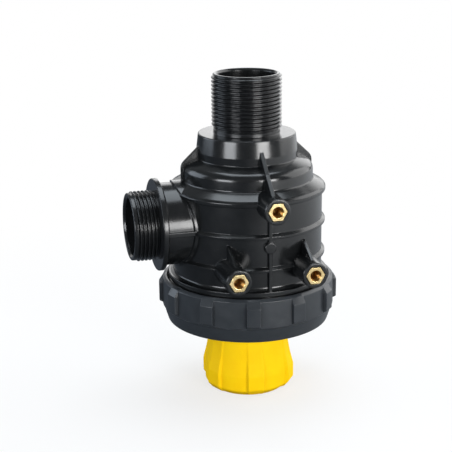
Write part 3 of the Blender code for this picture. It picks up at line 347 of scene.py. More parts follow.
def solve(target, others, operation):
    """Joins or cuts the target with several pieces at once, and removes them."""
    group = bpy.data.collections.new("operands")
    for other in others:
        group.objects.link(other)
    modifier = target.modifiers.new("solve", "BOOLEAN")
    modifier.operand_type = "COLLECTION"
    modifier.collection = group
    modifier.operation = operation
    modifier.solver = "EXACT"
    shade(settle(target))
    for other in others:
        bpy.data.objects.remove(other)
    bpy.data.collections.remove(group)
    return target


def to_port(obj):
    """Turns a piece made along +Z so that it lies along the side port."""
    place = Matrix.Translation((0, 0, PORT_Z * MM))
    obj.data.transform(place @ Matrix.Rotation(-pi / 2, 4, "Y"))
    return obj


def to_boss(obj, side, height):
    """Turns a piece made along +Z so that it points out of a boss, from the axis outwards."""
    place = Matrix.Translation((side * MM, 0, height * MM))
    obj.data.transform(place @ Matrix.Rotation(pi / 2, 4, "X"))
    return obj


def put(obj, body, node):
    """The piece rides on a body and stands for a CAD node, which it hides."""
    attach(obj, body)
    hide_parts(node)


# Materials


def nodes_of(name):
    made = bpy.data.materials.new(name)
    made.use_nodes = True
    tree = made.node_tree
    return made, tree, tree.nodes["Principled BSDF"]


def set_inputs(node, values):
    for key, value in values.items():
        node.inputs[key].default_value = value


def add_node(tree, kind, **settings):
    """A shader node with its inputs and properties set by name."""
    node = tree.nodes.new("ShaderNode" + kind)
    for key, value in settings.items():
        if key in node.inputs:
            set_inputs(node, {key: value})
        else:
            setattr(node, key, value)
    return node


def source(tree, kind, output):
    """An output of a new node."""
    return add_node(tree, kind).outputs[output]


def noise(tree, where, size, detail, roughness=0.5):
    """Noise whose features are about the size in millimetres."""
    node = add_node(tree, "TexNoise", Scale=1 / (size * MM), Detail=detail, Roughness=roughness)
    tree.links.new(where, node.inputs["Vector"])
    return node.outputs["Fac"]


def remap(tree, value, low, high, from_low=0.3, from_high=0.7):
    """Stretches a value from one range to another, and holds it at the ends."""
    node = add_node(tree, "MapRange")
    set_inputs(node, {"From Min": from_low, "From Max": from_high, "To Min": low, "To Max": high})
    tree.links.new(value, node.inputs["Value"])
    return node.outputs["Result"]


def multiply(tree, first, second):
    node = add_node(tree, "Math", operation="MULTIPLY")
    tree.links.new(first, node.inputs[0])
    tree.links.new(second, node.inputs[1])
    return node.outputs[0]


def mix_colour(tree, share, first, second):
    """The first colour at a share of 0 and the second at 1. A colour is a tuple or a socket."""
    node = add_node(tree, "Mix", data_type="RGBA")
    tree.links.new(share, node.inputs["Factor"])
    for socket, colour in ((node.inputs["A"], first), (node.inputs["B"], second)):
        if isinstance(colour, tuple):
            socket.default_value = (*colour, 1)
        else:
            tree.links.new(colour, socket)
    return node.outputs["Result"]


def mix_shader(tree, share, first, second):
    node = add_node(tree, "MixShader")
    tree.links.new(share, node.inputs["Fac"])
    tree.links.new(first, node.inputs[1])
    tree.links.new(second, node.inputs[2])
    return node.outputs["Shader"]


def surface(name, colours, rough, spread, grain, waves, wear=None, hollow=None, bevel=0.0, specular=0.5,
            metallic=0.0):
    """A moulded or machined surface: two tones, uneven gloss, fine grain over slow waves, and worn edges.

    grain and waves are (size, depth) in millimetres, and bevel is the radius of its soft edges. wear is the
    colour of a rubbed edge, and hollow is painted shade: the darker colour mixed into corners and creases,
    where shade falls."""
    made, tree, shader = nodes_of(name)
    where = source(tree, "TexCoord", "Object")
    pointiness = source(tree, "NewGeometry", "Pointiness")
    slow = noise(tree, where, waves[0], 2.0)
    fine = noise(tree, where, grain[0], 4.0, 0.6)
    patches = noise(tree, where, PATCH_SIZE, 5.0, 0.65)
    tone = mix_colour(tree, remap(tree, patches, 0.0, 1.0), *colours)
    gloss = remap(tree, patches, rough - spread, rough + spread)
    if hollow:
        # Painted shade: where pointiness is low, in corners and creases, the tone is darkened towards the
        # hollow colour.
        corner = remap(tree, pointiness, 1.0, 0.0, *PAINTED_SHADE_CORNER)
        tone = mix_colour(tree, corner, tone, hollow)
    if wear:
        edge = remap(tree, pointiness, 0.0, 1.0, *WORN_EDGE)
        broken = multiply(tree, edge, remap(tree, fine, 0.1, 1.0))
        tone = mix_colour(tree, broken, tone, wear)
    tree.links.new(tone, shader.inputs["Base Color"])
    tree.links.new(gloss, shader.inputs["Roughness"])
    set_inputs(shader, {"Metallic": metallic, "Specular IOR Level": specular})
    normal = None
    if bevel:
        soft = add_node(tree, "Bevel", samples=4, Radius=bevel * MM)
        normal = soft.outputs["Normal"]
    for height, depth in ((slow, waves[1]), (fine, grain[1])):
        bump = add_node(tree, "Bump", Strength=1.0, Distance=depth * MM)
        tree.links.new(height, bump.inputs["Height"])
        if normal:
            tree.links.new(normal, bump.inputs["Normal"])
        normal = bump.outputs["Normal"]
    tree.links.new(normal, shader.inputs["Normal"])
    return made


BLACK = surface(
    "black_glass_filled", ((0.005, 0.0055, 0.006), (0.0085, 0.0092, 0.0096)), rough=0.2, spread=0.03,
    grain=(0.35, 0.004), waves=(20.0, 0.02), wear=(0.022, 0.023, 0.025), bevel=0.5, specular=0.55,
)
# The slate nut gets painted shade: its corners and creases darken towards the hollow colour.
SLATE = surface(
    "slate_nut_plastic", ((0.021, 0.0245, 0.0285), (0.027, 0.031, 0.0355)), rough=0.33, spread=0.05,
    grain=(0.3, 0.008), waves=(10.0, 0.06), wear=(0.08, 0.088, 0.1), bevel=0.3,
    hollow=(0.006, 0.007, 0.008),
)
YELLOW = surface(
    "yellow_cap_plastic", ((0.93, 0.56, 0.002), (0.95, 0.61, 0.003)), rough=0.6, spread=0.05,
    grain=(0.3, 0.006), waves=(12.0, 0.08), wear=(0.96, 0.64, 0.01), bevel=0.8, specular=0.08,
)
WHITE = surface(
    "natural_plastic", ((0.70, 0.71, 0.67), (0.76, 0.76, 0.72)), rough=0.38, spread=0.06,
    grain=(0.4, 0.008), waves=(10.0, 0.05), wear=(0.82, 0.82, 0.80), bevel=0.3,
)
RUBBER = surface(
    "seal_rubber", ((0.012, 0.012, 0.012), (0.02, 0.02, 0.02)), rough=0.62, spread=0.08,
    grain=(0.25, 0.01), waves=(6.0, 0.05), wear=(0.04, 0.04, 0.04), specular=0.3,
)
# A darker copy of the brass, as painted shade inside the inserts' holes.
BRASS_PAINTED_SHADE = surface(
    "insert_brass_painted_shade", ((0.34, 0.17, 0.045), (0.5, 0.28, 0.09)), rough=0.36, spread=0.08,
    grain=(0.2, 0.006), waves=(3.0, 0.01), metallic=1.0,
)
BRASS = surface(
    "insert_brass", ((0.80, 0.58, 0.24), (0.88, 0.68, 0.34)), rough=0.26, spread=0.08,
    grain=(0.2, 0.006), waves=(3.0, 0.01), wear=(0.95, 0.82, 0.55), bevel=0.2, metallic=1.0,
)
STEEL = surface(
    "stainless_steel", ((0.56, 0.56, 0.55), (0.66, 0.66, 0.65)), rough=0.28, spread=0.08,
    grain=(0.2, 0.005), waves=(4.0, 0.02), wear=(0.8, 0.8, 0.8), metallic=1.0,
)


# Housing


def bead(height):
    """A bead on the drum with a sloped top, from its upper to its lower foot."""
    crest_r = BEAD_R - 0.1
    return [
        (DRUM_R, height + 1.8, 0.2),
        (crest_r, height + 0.4, 0.3),
        (crest_r, height - 1.1, 0.3),
        (DRUM_R, height - 1.5, 0.2),
    ]


def base_fillet(steps=8):
    """The hollow sweep from the drum's wall out to the lip over the ring nut."""
    centre_r, centre_z = DRUM_R + BASE_SWEEP_R, LIP_HIGH + BASE_SWEEP_R
    last = acos((centre_r - LIP_R) / BASE_SWEEP_R)
    points = []
    for step in range(steps + 1):
        turn = last * step / steps
        points.append((centre_r - BASE_SWEEP_R * cos(turn), centre_z - BASE_SWEEP_R * sin(turn)))
    return points[:-1] + [(*points[-1], 0.3)]


def housing_outside():
    """From the spigot's root over collar, shoulder, beads and lip to the rim."""
    outline = [
        (0, SPIGOT_FOOT + 0.2),
        (PIPE_RELIEF_R, SPIGOT_FOOT + 0.2),
        (PIPE_RELIEF_R, COLLAR_TOP, 0.4),
        (COLLAR_TOP_R, COLLAR_TOP, 0.8),
        (COLLAR_FOOT_R - 0.1, SHOULDER_HIGH + 4.6, 2.0),
        (COLLAR_FOOT_R - 0.3, SHOULDER_HIGH, 0.6),
        (COLLAR_FOOT_R + 1.2, SHOULDER_HIGH - 0.5, 1.5),
        (SHOULDER_R - 0.1, SHOULDER_HIGH - 3.6, 5.0),
        (SHOULDER_R, SHOULDER_LOW, 1.2),
        (BEAD_R - 1.1, BEADS[0] + 2.4, 1.6),
        (BEAD_R, BEADS[0] + 1.2, 1.0),
        (BEAD_R, BEADS[0] - 1.2, 0.7),
        (DRUM_R, BEADS[0] - 1.5, 0.2),
    ]
    for height in BEADS[1:]:
        outline += bead(height)
    outline += base_fillet()
    outline += [
        (LIP_R, LIP_LOW, 0.3),
        (BASE_ROOT_R, LIP_LOW),
        (BASE_ROOT_R, RIM, 0.6),
        (0, RIM),
    ]
    return rounded(outline)


def housing_inside():
    """From the rim up through the water room, the valve chamber and the spigot's bore."""
    shoulder_r, mouth_r, roof = SHOULDER_R - WALL, DRUM_INNER_R + 0.6, SHOULDER_HIGH - WALL
    return rounded([
        (0, RIM - CUT_PAST),
        (mouth_r, RIM - CUT_PAST),
        (mouth_r, RIM),
        (DRUM_INNER_R, RIM + 0.9),
        (DRUM_INNER_R, BEADS[0] - 1.0, 3.0),
        (shoulder_r, SHOULDER_LOW - 2.0, 2.0),
        (shoulder_r, roof - 2.0, 4.5),
        (CHAMBER_TUBE_R, roof, 0.6),
        (CHAMBER_TUBE_R, CHAMBER_LOW, 0.4),
        (CHAMBER_R, CHAMBER_LOW, 0.4),
        (CHAMBER_R, CHAMBER_ROOF, 1.0),
        (PIPE_BORE_R, CHAMBER_ROOF, 0.6),
        (PIPE_BORE_R, SPIGOT_TOP),
        (0, SPIGOT_TOP),
    ])


def boss_places():
    """Each boss's name, its place to the side and its height."""
    lower = [("lower_left", -BOSS_SIDE, BOSS_LOW), ("lower_right", BOSS_SIDE, BOSS_LOW)]
    return [("upper", 0.0, BOSS_HIGH)] + lower


def web(name, outline, middle=0.0):
    """A thin upright web. Its outline is given as (y, z)."""
    return prism(name, outline, middle - RIB_WIDTH / 2, middle + RIB_WIDTH / 2, "X", RIB_EDGE)


def boss_pieces():
    """Three bosses and the fins that brace them, and the shoulder's other fins."""
    made = []
    root = DRUM_R - BOSS_SINK
    for name, side, height in boss_places():
        corners = [(0, BOSS_FACE), (BOSS_R, BOSS_FACE, 0.7), (BOSS_R + 0.25, root), (0, root)]
        made.append(to_boss(turned("boss_" + name, corners, steps=SMALL_STEPS), side, height))
    made.append(web("fin_upper", rounded([
        (-COLLAR_FOOT_R + JOIN, FIN_TOP),
        (-COLLAR_FOOT_R + 0.6, FIN_TOP),
        (-FIN_KNEE_R, FIN_KNEE_Z, 6.0),
        (-BOSS_FACE + 7.0, BOSS_HIGH + BOSS_R - FIN_DROP),
        (-BOSS_FACE + 7.0, BOSS_HIGH),
        (-root, BOSS_HIGH),
        (-COLLAR_FOOT_R + JOIN, FIN_FOOT),
    ])))
    side_fin = rounded([
        (COLLAR_FOOT_R - JOIN, FIN_TOP),
        (COLLAR_FOOT_R - 0.6, FIN_TOP),
        (FIN_KNEE_R, FIN_KNEE_Z, 6.0),
        (FIN_KNEE_R, SHOULDER_LOW - 2.4),
        (SHOULDER_R - JOIN, SHOULDER_LOW - 2.4),
        (COLLAR_FOOT_R - JOIN, FIN_FOOT),
    ])
    for index in range(3):
        fin = web(f"fin_side_{index}", side_fin)
        fin.data.transform(Matrix.Rotation((index - 1) * pi / 2, 4, "Z"))
        made.append(fin)
    wall_y = -sqrt(DRUM_R ** 2 - BOSS_SIDE ** 2)
    low_fin = [
        (wall_y + JOIN, BOSS_LOW + BOSS_R + 8.7),
        (wall_y, BOSS_LOW + BOSS_R + 8.4),
        (-BOSS_FACE + 4.0, BOSS_LOW + BOSS_R - FIN_DROP),
        (-BOSS_FACE + 4.0, BOSS_LOW),
        (wall_y + JOIN, BOSS_LOW),
    ]
    for name, side, _ in boss_places()[1:]:
        made.append(web("fin_" + name, low_fin, side))
    return made


def rib_pieces():
    """The upright rib with its pad, and the level rib on both sides of the neck."""
    inner_r = DRUM_R - RIB_SINK
    front = rectangle(-DRUM_R - RIB_RISE, -inner_r, LIP_HIGH - 0.4, BOSS_HIGH - BOSS_R + JOIN)
    made = [web("front_rib", front)]
    pad_face = DRUM_R + RIB_RISE + 0.3
    pad = [(0, pad_face), (PAD_R, pad_face, 0.5), (PAD_R, inner_r), (0, inner_r)]
    made.append(to_boss(turned("front_pad", pad, steps=48), 0, PAD_Z))
    reach = PORT_NECK_R + 1.5
    root = -sqrt(DRUM_R ** 2 - reach ** 2) + JOIN
    sunk = PORT_NECK_R - RIB_SINK
    for name, near, far in (("front", -reach, -sunk), ("back", sunk, reach)):
        level = rectangle(near, far, PORT_Z - 1.5, PORT_Z + 1.5)
        made.append(prism("neck_rib_" + name, level, -PORT_FLANGE_NEAR - 0.8, root, "X", 0.4))
    return made


def port_pieces():
    """The neck with its flange, and the saddle round the neck's root."""
    root = sqrt(DRUM_INNER_R ** 2 - PORT_NECK_R ** 2) - JOIN
    neck = to_port(turned("port_neck", [
        (0, PORT_FLANGE_FAR), (PORT_FLANGE_R, PORT_FLANGE_FAR, 0.5),
        (PORT_FLANGE_R, PORT_FLANGE_NEAR, 0.5), (PORT_NECK_R, PORT_FLANGE_NEAR, 1.2),
        (PORT_NECK_R, root), (0, root),
    ], steps=PORT_STEPS))
    limit_r = DRUM_R + SADDLE_RISE
    saddle = to_port(cylinder("saddle", PORT_SADDLE_R, root, limit_r + CUT_PAST, PORT_STEPS))
    reach = PORT_SADDLE_R + CUT_PAST
    limit = cylinder("saddle_limit", limit_r, PORT_Z - reach, PORT_Z + reach, DRUM_STEPS)
    return [neck, solve(saddle, [limit], "INTERSECT")]


def housing_cutters():
    """The cavity, the port's bore and the inserts' hexagon pockets."""
    cavity = skin("cavity", housing_inside(), even(DRUM_STEPS))
    root = sqrt(DRUM_INNER_R ** 2 - PIPE_BORE_R ** 2) - CUT_PAST
    bore = cylinder("port_bore", PIPE_BORE_R, root, PORT_END + CUT_PAST, PORT_STEPS)
    made = [cavity, to_port(bore)]
    pocket_r = (INSERT_FLATS / 2 + FIT) / cos(pi / 6)
    bottom = -BOSS_FACE + INSERT_LENGTH - INSERT_PROUD + FIT
    for name, side, height in boss_places():
        hexagon = polygon(6, pocket_r, 0.0, (side, height))
        made.append(prism("pocket_" + name, hexagon, -BOSS_FACE - CUT_PAST, bottom, "Y"))
    return made


def make_housing():
    housing = skin("housing_shell", housing_outside(), even(DRUM_STEPS), BLACK)
    solve(housing, boss_pieces() + rib_pieces() + port_pieces(), "UNION")
    solve(housing, housing_cutters(), "DIFFERENCE")
    put(weigh(housing), "housing_body", "housing")


def make_spigot():
    """The top spigot, with G 1 1/4 thread over nearly its whole length and the stop ridge in its bore."""
    low, high = SPIGOT_FOOT + 1.0, SPIGOT_TOP - 0.35
    mouth_r = PIPE_ROOT_R + 0.1

    def ring(height):
        def reach(angles):
            free = thread(angles, height, *PIPE_THREAD, low, high + 0.6, 0.8)
            return np.minimum(free, mouth_r + max(0.0, SPIGOT_TOP - 0.2 - height))
        return reach, height

    rings = [(PIPE_RELIEF_R, SPIGOT_FOOT), (PIPE_RELIEF_R, low - 0.6), (PIPE_ROOT_R, low - 0.1)]
    rings += [ring(height) for height in levels(low, high, PIPE_RING)]
    rings += rounded([
        (mouth_r, SPIGOT_TOP, 0.3), (PIPE_BORE_R + 0.9, SPIGOT_TOP, 0.4),
        (PIPE_BORE_R, SPIGOT_TOP - 1.3, 0.4), (PIPE_BORE_R, GUIDE_STOP + 3.4, 0.3),
        (PIPE_BORE_R - 1.4, GUIDE_STOP + 2.0, 0.3), (PIPE_BORE_R - 1.4, GUIDE_STOP, 0.2),
        (PIPE_BORE_R, GUIDE_STOP, 0.2), (PIPE_BORE_R, SPIGOT_FOOT),
    ])
    spigot = skin("spigot_thread", rings, even(THREAD_STEPS), BLACK, THREAD_SHARP)
    put(spigot, "housing_body", "housing")


def make_port_thread():
    """The side port's end: G 1 1/4 thread behind a plain lead-in."""
    low = PORT_FLANGE_FAR - 0.5
    lead_low = PORT_END - 2.4
    lead_r = PIPE_ROOT_R + 0.75
    rings = [(PIPE_ROOT_R, low), (PIPE_ROOT_R, low + 1.2)]
    rings += thread_rings(low + 1.3, lead_low, PIPE_RING, *PIPE_THREAD, low + 1.0, lead_low + 1.0, 1.0)
    rings += rounded([
        (lead_r, lead_low + 0.2), (lead_r - 0.1, PORT_END, 0.6),
        (PIPE_BORE_R + 0.9, PORT_END, 0.4), (PIPE_BORE_R, PORT_END - 1.3, 0.4),
        (PIPE_BORE_R, low),
    ])
    port = to_port(skin("port_thread", rings, even(THREAD_STEPS), BLACK, THREAD_SHARP))
    put(port, "housing_body", "housing")


def make_base_thread():
    """The coarse thread under the ring nut."""
    low, high = RIM + 0.8, LIP_LOW - 0.2
    inner_r = BASE_ROOT_R - 1.5
    rings = [(inner_r, low)]
    rings += thread_rings(low, high, BASE_RING, BASE_ROOT_R - 0.05, BASE_DEPTH, BASE_PITCH, low, high - 0.2)
    rings.append((inner_r, high))
    base = skin("base_thread", rings, even(BASE_THREAD_STEPS), BLACK, THREAD_SHARP)
    put(base, "housing_body", "housing")


def hexagon_reach(angles):
    """The radius of an insert's hexagon at each angle, with the corners slightly rounded."""
    turn = angles % (pi / 3) - pi / 6
    half = INSERT_FLATS / 2
    return np.minimum(half / np.cos(turn), half / cos(pi / 6) - 0.12)


def make_inserts():
    """Hexagonal brass bushes with a chamfered face and an M6 thread in the hole."""
    front = BOSS_FACE + INSERT_PROUD
    low = front - INSERT_LENGTH
    hole_low = front - INSERT_THREAD
    rings = [
        (0, low), (lambda a: hexagon_reach(a) * 0.96, low),
        (hexagon_reach, low + 0.3), (hexagon_reach, front - 0.35),
        (lambda a: hexagon_reach(a) - 0.3, front),
        (INSERT_HOLE_R + 0.6, front), (INSERT_HOLE_R + 0.45, front - 0.08),
        (INSERT_HOLE_R, front - 0.6),
    ]
    rings += thread_rings(
        front - 0.65, hole_low, INSERT_RING, INSERT_HOLE_R, -INSERT_DEPTH, INSERT_PITCH, hole_low - 0.2,
        front - 0.6, 0.3,
    )
    rings += [(INSERT_HOLE_R - 0.55, hole_low - 0.3), (0, hole_low - 1.3)]
    for name, side, height in boss_places():
        insert = skin("hex_" + name, rings, even(ROUND_STEPS), BRASS, sharp=28)
        # The faces inside the hole take the darker brass, as painted shade in the bore.
        insert.data.materials.append(BRASS_PAINTED_SHADE)
        for face in insert.data.polygons:
            middle = face.center / MM
            in_shaded_hole = hypot(middle.x, middle.y) < INSERT_HOLE_R + 0.35 and middle.z > low + 0.5
            face.material_index = int(in_shaded_hole)
        to_boss(insert, side, height)
        put(insert, "housing_body", "insert_" + name)


# Ring nut


def lug_angles(count, phase, half_width, plain=6):
    """Angles that crowd round the edges of equal lugs, with a few between them."""
    period = tau / count
    inside = [0.0, 0.35, 0.7, 0.88, 0.95, 1.0, 1.05, 1.12, 1.25]
    turns = sorted({sign * share * half_width for share in inside for sign in (-1, 1)})
    outside = np.linspace(turns[-1], period + turns[0], plain + 2)[1:-1]
    local = np.array(turns + list(outside))
    return np.concatenate([local + phase + period * index for index in range(count)])


def lug_offset(angles, count, phase):
    """The angle from the middle of the nearest lug."""
    period = tau / count
    return (angles - phase + period / 2) % period - period / 2


def lug_share(angles, count, phase, half_width, edge):
    """1 on a lug, 0 between lugs, with a short slope at each edge."""
    local = np.abs(lug_offset(angles, count, phase))
    share = np.clip((half_width * (1 + edge) - local) / (2 * edge * half_width), 0, 1)
    return share * share * (3 - 2 * share)


def outline_reach(outline, height):
    """The radius of an outline at a height. The outline is given downwards."""
    reaches, heights = zip(*outline[::-1])
    return float(np.interp(height, heights, reaches))


def corner_heights(*outlines):
    """The heights of all the outlines' points."""
    return {round(z, 3) for outline in outlines for _, z in outline}


def make_ring_nut():
    """The union nut, with twelve lugs outside and the coarse thread inside."""
    half_turn = LUG_HALF_WIDTH / LUG_R
    body = rounded([
        (NUT_R - 2.4, NUT_HIGH), (NUT_R - 1.4, NUT_HIGH, 0.3),
        (NUT_R, NUT_HIGH - 1.4, 0.5), (NUT_R + 0.3, NUT_STEP, 0.25),
        (NUT_R - 0.5, NUT_STEP - 0.9, 0.3), (NUT_R - 1.4, NUT_STEP - 4.5, 7.0),
        (NUT_FOOT_R, NUT_LOW, 1.0), (NUT_FOOT_R - 3.0, NUT_LOW - 0.01),
    ])[1:-1]
    lug = rounded([
        (NUT_R - 3.0, NUT_HIGH + 0.6), (NUT_R - 0.2, NUT_HIGH - 0.9, 0.4),
        (LUG_R, NUT_HIGH - 4.8, 0.7), (LUG_R, NUT_STEP + 1.6, 0.6),
        (NUT_R + 0.2, NUT_STEP + 0.5, 0.2), (NUT_R - 3.0, NUT_STEP + 0.4),
    ])

    def ring(height):
        plain = outline_reach(body, height)
        raised = max(plain, outline_reach(lug, height)) if height > NUT_STEP + 0.3 else plain

        def reach(angles):
            share = lug_share(angles, LUGS, LUG_PHASE, half_turn, LUG_EDGE)
            return plain + (raised - plain) * share
        return reach, height

    lug_heights = {z for z in corner_heights(lug) if NUT_STEP < z < NUT_HIGH}
    rings = [(NUT_BORE_R + 0.3, NUT_HIGH), (NUT_R - 1.6, NUT_HIGH)]
    rings += [ring(height) for height in sorted(corner_heights(body) | lug_heights, reverse=True)]
    rings += rounded([
        (NUT_FLANGE_R + 3.0, NUT_LOW), (NUT_FLANGE_R, NUT_LOW, 0.6),
        (NUT_FLANGE_R, NUT_FLANGE_TOP, 0.4), (NUT_BORE_R, NUT_FLANGE_TOP, 0.4),
        (NUT_BORE_R, NUT_FLANGE_TOP + 2.0),
    ])
    rings += thread_rings(
        NUT_FLANGE_TOP + 2.2, NUT_HIGH - 1.2, NUT_RING, NUT_BORE_R, -BASE_DEPTH, BASE_PITCH,
        NUT_FLANGE_TOP + 4.0, NUT_HIGH - 2.0, phase=pi,
    )
    rings.append((NUT_BORE_R, NUT_HIGH - 0.3))
    angles = lug_angles(LUGS, LUG_PHASE, half_turn)
    nut = skin("union_nut", rings, angles, SLATE, THREAD_SHARP)
    put(weigh(nut), "ring_nut_body", "ring_nut")


# Cap


def make_cap():
    """The yellow screw knob: six flat ribs that flare and round off below, with the hub's thread inside."""
    half_turn = atan(CAP_RIB_HALF / CAP_RIB_R)
    rib_low, rib_high = 0.1, CAP_TOP - 3.0
    body = rounded([
        (CAP_R - 3.0, CAP_TOP), (CAP_R, CAP_TOP, 0.8),
        (CAP_R, CAP_TOP - 5.0, 6.0), (CAP_SKIRT_R, 12.9, 12.0),
        (CAP_SKIRT_R, 3.6, 2.2), (CAP_FOOT_R - 1.2, 0.0, 1.2),
        (CAP_FOOT_R - 5.0, 0.0),
    ])[1:-1]
    rib = rounded([
        (CAP_R - 1.2, rib_high), (CAP_R - 0.1, CAP_TOP - 5.0, 2.0),
        (CAP_R + 2.1, CAP_TOP - 17.0, 8.0), (CAP_RIB_R, CAP_TOP - 25.0, 6.0),
        (CAP_RIB_R, 5.0, 2.4), (CAP_FOOT_R + 1.3, 1.3, 1.2),
        (CAP_FOOT_R - 3.0, rib_low),
    ])

    def ring(height):
        plain = outline_reach(body, height)
        raised = outline_reach(rib, height) if rib_low <= height <= rib_high else 0.0

        def reach(angles):
            local = np.clip(lug_offset(angles, CAP_RIBS, CAP_RIB_PHASE), -half_turn, half_turn)
            flat = np.maximum(raised / np.cos(local), plain)
            share = lug_share(angles, CAP_RIBS, CAP_RIB_PHASE, half_turn, CAP_RIB_EDGE)
            return plain + (flat - plain) * share
        return reach, height

    heights = corner_heights(body, rib) | set(levels(8.0, 34.0, 2.0))
    rings = [(CAP_INNER_R + 0.3, CAP_TOP)]
    rings += [ring(height) for height in sorted(heights, reverse=True)]
    rings += rounded([
        (12.0, 0.0), (CAP_POCKET_R, 0.0, 0.3), (CAP_POCKET_R, CAP_POCKET, 0.3),
        (ROD_BORE_R, CAP_POCKET, 0.2), (ROD_BORE_R, CAP_BOSS_TOP, 0.3), (CAP_BOSS_R, CAP_BOSS_TOP, 0.6),
        (CAP_BOSS_R, CAP_FLOOR, 0.8), (CAP_INNER_R, CAP_FLOOR, 1.2), (CAP_INNER_R, 12.0),
    ])
    rings += thread_rings(
        12.2, CAP_TOP - 1.0, CAP_RING, CAP_INNER_R, -CAP_DEPTH, CAP_PITCH, 14.0, CAP_TOP - 2.0, phase=pi
    )
    angles = lug_angles(CAP_RIBS, CAP_RIB_PHASE, half_turn, plain=10)
    cap = skin("screw_cap", rings, angles, YELLOW, THREAD_SHARP)
    put(weigh(cap), "cap_body", "cap")


def make_plug():
    """The plug in the cap's pocket, slightly dished in its middle."""
    plug_r = CAP_POCKET_R - FIT
    plug = turned("pocket_cover", [
        (0, PLUG_THICK), (plug_r - PLUG_WALL, PLUG_THICK), (plug_r - PLUG_WALL, PLUG_SKIRT),
        (plug_r, PLUG_SKIRT, 0.3), (plug_r, 0.0, 0.4), (4.0, 0.0),
        (3.6, 0.25), (0, 0.25),
    ], YELLOW, 72)
    put(plug, "cap_body", "cap_plug")


# Lid, seals and rod


def make_lid():
    """The bottom cover: the cartridge's seat, the seal's groove, the flange and the hub with its thread."""
    rings = rounded([
        (ROD_BORE_R, LID_SEAT + 2.0, 0.3), (LID_GUIDE_R, LID_SEAT + 2.0, 0.5),
        (LID_GUIDE_R, LID_SEAT - 4.0, 0.8), (LID_DISH_R, LID_SEAT - 4.0, 0.8),
        (LID_DISH_R, LID_SEAT, 0.4), (LID_SPIGOT_R, LID_SEAT, 0.7),
        (LID_SPIGOT_R, LID_GROOVE_HIGH, 0.2), (LID_GROOVE_R, LID_GROOVE_HIGH, 0.3),
        (LID_GROOVE_R, LID_GROOVE_LOW, 0.3), (LID_SPIGOT_R, LID_GROOVE_LOW, 0.2),
        (LID_SPIGOT_R, LID_FLANGE_TOP, 0.3), (LID_R, LID_FLANGE_TOP, 0.5), (LID_R, LID_FLANGE, 0.5),
        (NUT_FLANGE_R - 3.0, LID_FLANGE, 0.6), (NUT_FLANGE_R - 6.0, LID_FLANGE + 3.0, 2.0),
        (HUB_R + 6.0, LID_FLANGE + 3.0, 2.0), (HUB_R, LID_FLANGE - 3.0, 1.5), (HUB_R, CAP_TOP + 1.5),
    ])
    rings += thread_rings(
        CAP_TOP + 1.2, HUB_LOW + 1.8, CAP_RING, HUB_R, CAP_DEPTH, CAP_PITCH, HUB_LOW + 1.6, CAP_TOP + 1.0
    )
    rings += rounded([
        (HUB_R, HUB_LOW + 1.5), (HUB_R - 0.4, HUB_LOW, 0.6), (HUB_INNER_R, HUB_LOW, 0.4),
        (HUB_INNER_R, HUB_CEILING, 0.8), (GLAND_R, HUB_CEILING, 0.3), (GLAND_R, GLAND_TOP, 0.2),
        (ROD_BORE_R, GLAND_TOP),
    ])
    lid = skin("bottom_cover", rings, even(DRUM_STEPS), BLACK, sharp=36)
    put(lid, "lid_body", "lid")


def seal(name, inner_r, outer_r, height, body, node):
    """An O-ring between two radii, with its middle at the height."""
    section_r = (outer_r - inner_r) / 2
    section = polygon(16, section_r, 0.0, (inner_r + section_r, height))
    put(skin(name, section, even(ROUND_STEPS), RUBBER), body, node)


def make_seals():
    groove_middle = (LID_GROOVE_LOW + LID_GROOVE_HIGH) / 2
    seal("lid_seal", LID_GROOVE_R + FIT, LID_SPIGOT_R, groove_middle, "lid_body", "lid_o_ring")
    seal("rod_seal", ROD_BORE_R, GLAND_R - FIT, GLAND_TOP - 1.5, "lid_body", "rod_o_ring")
    groove_middle = (SEAT_GROOVE_LOW + SEAT_GROOVE_HIGH) / 2
    seal("seat_seal", SEAT_GROOVE_R + FIT, SEAT_R, groove_middle, "housing_body", "seat_o_ring")


def make_bush():
    bush = turned("gland_bush", [
        (BUSH_R, BUSH_TOP, 0.2), (BUSH_R, BUSH_STEP), (BUSH_R + 2.0, BUSH_STEP, 0.3),
        (BUSH_R + 2.0, BUSH_LOW, 0.3), (ROD_BORE_R, BUSH_LOW, 0.3), (ROD_BORE_R, BUSH_TOP, 0.2),
    ], WHITE, 72)
    put(bush, "lid_body", "rod_bush")


def make_rod():
    """The push rod with its collar, and the washer and screw that hold the cap on its end."""
    rod_foot, hole_top = CAP_POCKET + FIT, SCREW_TOP + 1.0
    rod = turned("valve_rod", [
        (0, ROD_TOP), (ROD_R, ROD_TOP, 0.8), (ROD_R, ROD_COLLAR_HIGH, 0.3),
        (ROD_COLLAR_R, ROD_COLLAR_HIGH, 0.4), (ROD_COLLAR_R, ROD_COLLAR_LOW, 0.4),
        (ROD_R, ROD_COLLAR_LOW), (ROD_R, rod_foot, 0.3), (ROD_HOLE_R, rod_foot),
        (ROD_HOLE_R, hole_top), (0, hole_top),
    ], WHITE, SMALL_STEPS)
    put(rod, "rod_body", "push_rod")
    stop = washer("end_washer", (ROD_HOLE_R, 0.1), (WASHER_R, 0.2), WASHER_LOW, WASHER_HIGH, STEEL, 72)
    put(stop, "rod_body", "rod_washer")
    screw = turned("end_screw", [
        (0, SCREW_TOP), (SCREW_R, SCREW_TOP, 0.4), (SCREW_R, SCREW_NECK, 0.1),
        (SCREW_HEAD_R, SCREW_NECK, 0.2), (SCREW_HEAD_R, SCREW_LOW, 0.6), (0, SCREW_LOW),
    ], STEEL, SMALL_STEPS)
    socket = prism("socket", polygon(6, SCREW_R), SCREW_LOW - 2.0, SCREW_LOW + 1.5)
    solve(screw, [socket], "DIFFERENCE")
    put(screw, "rod_body", "rod_screw")


# Valve


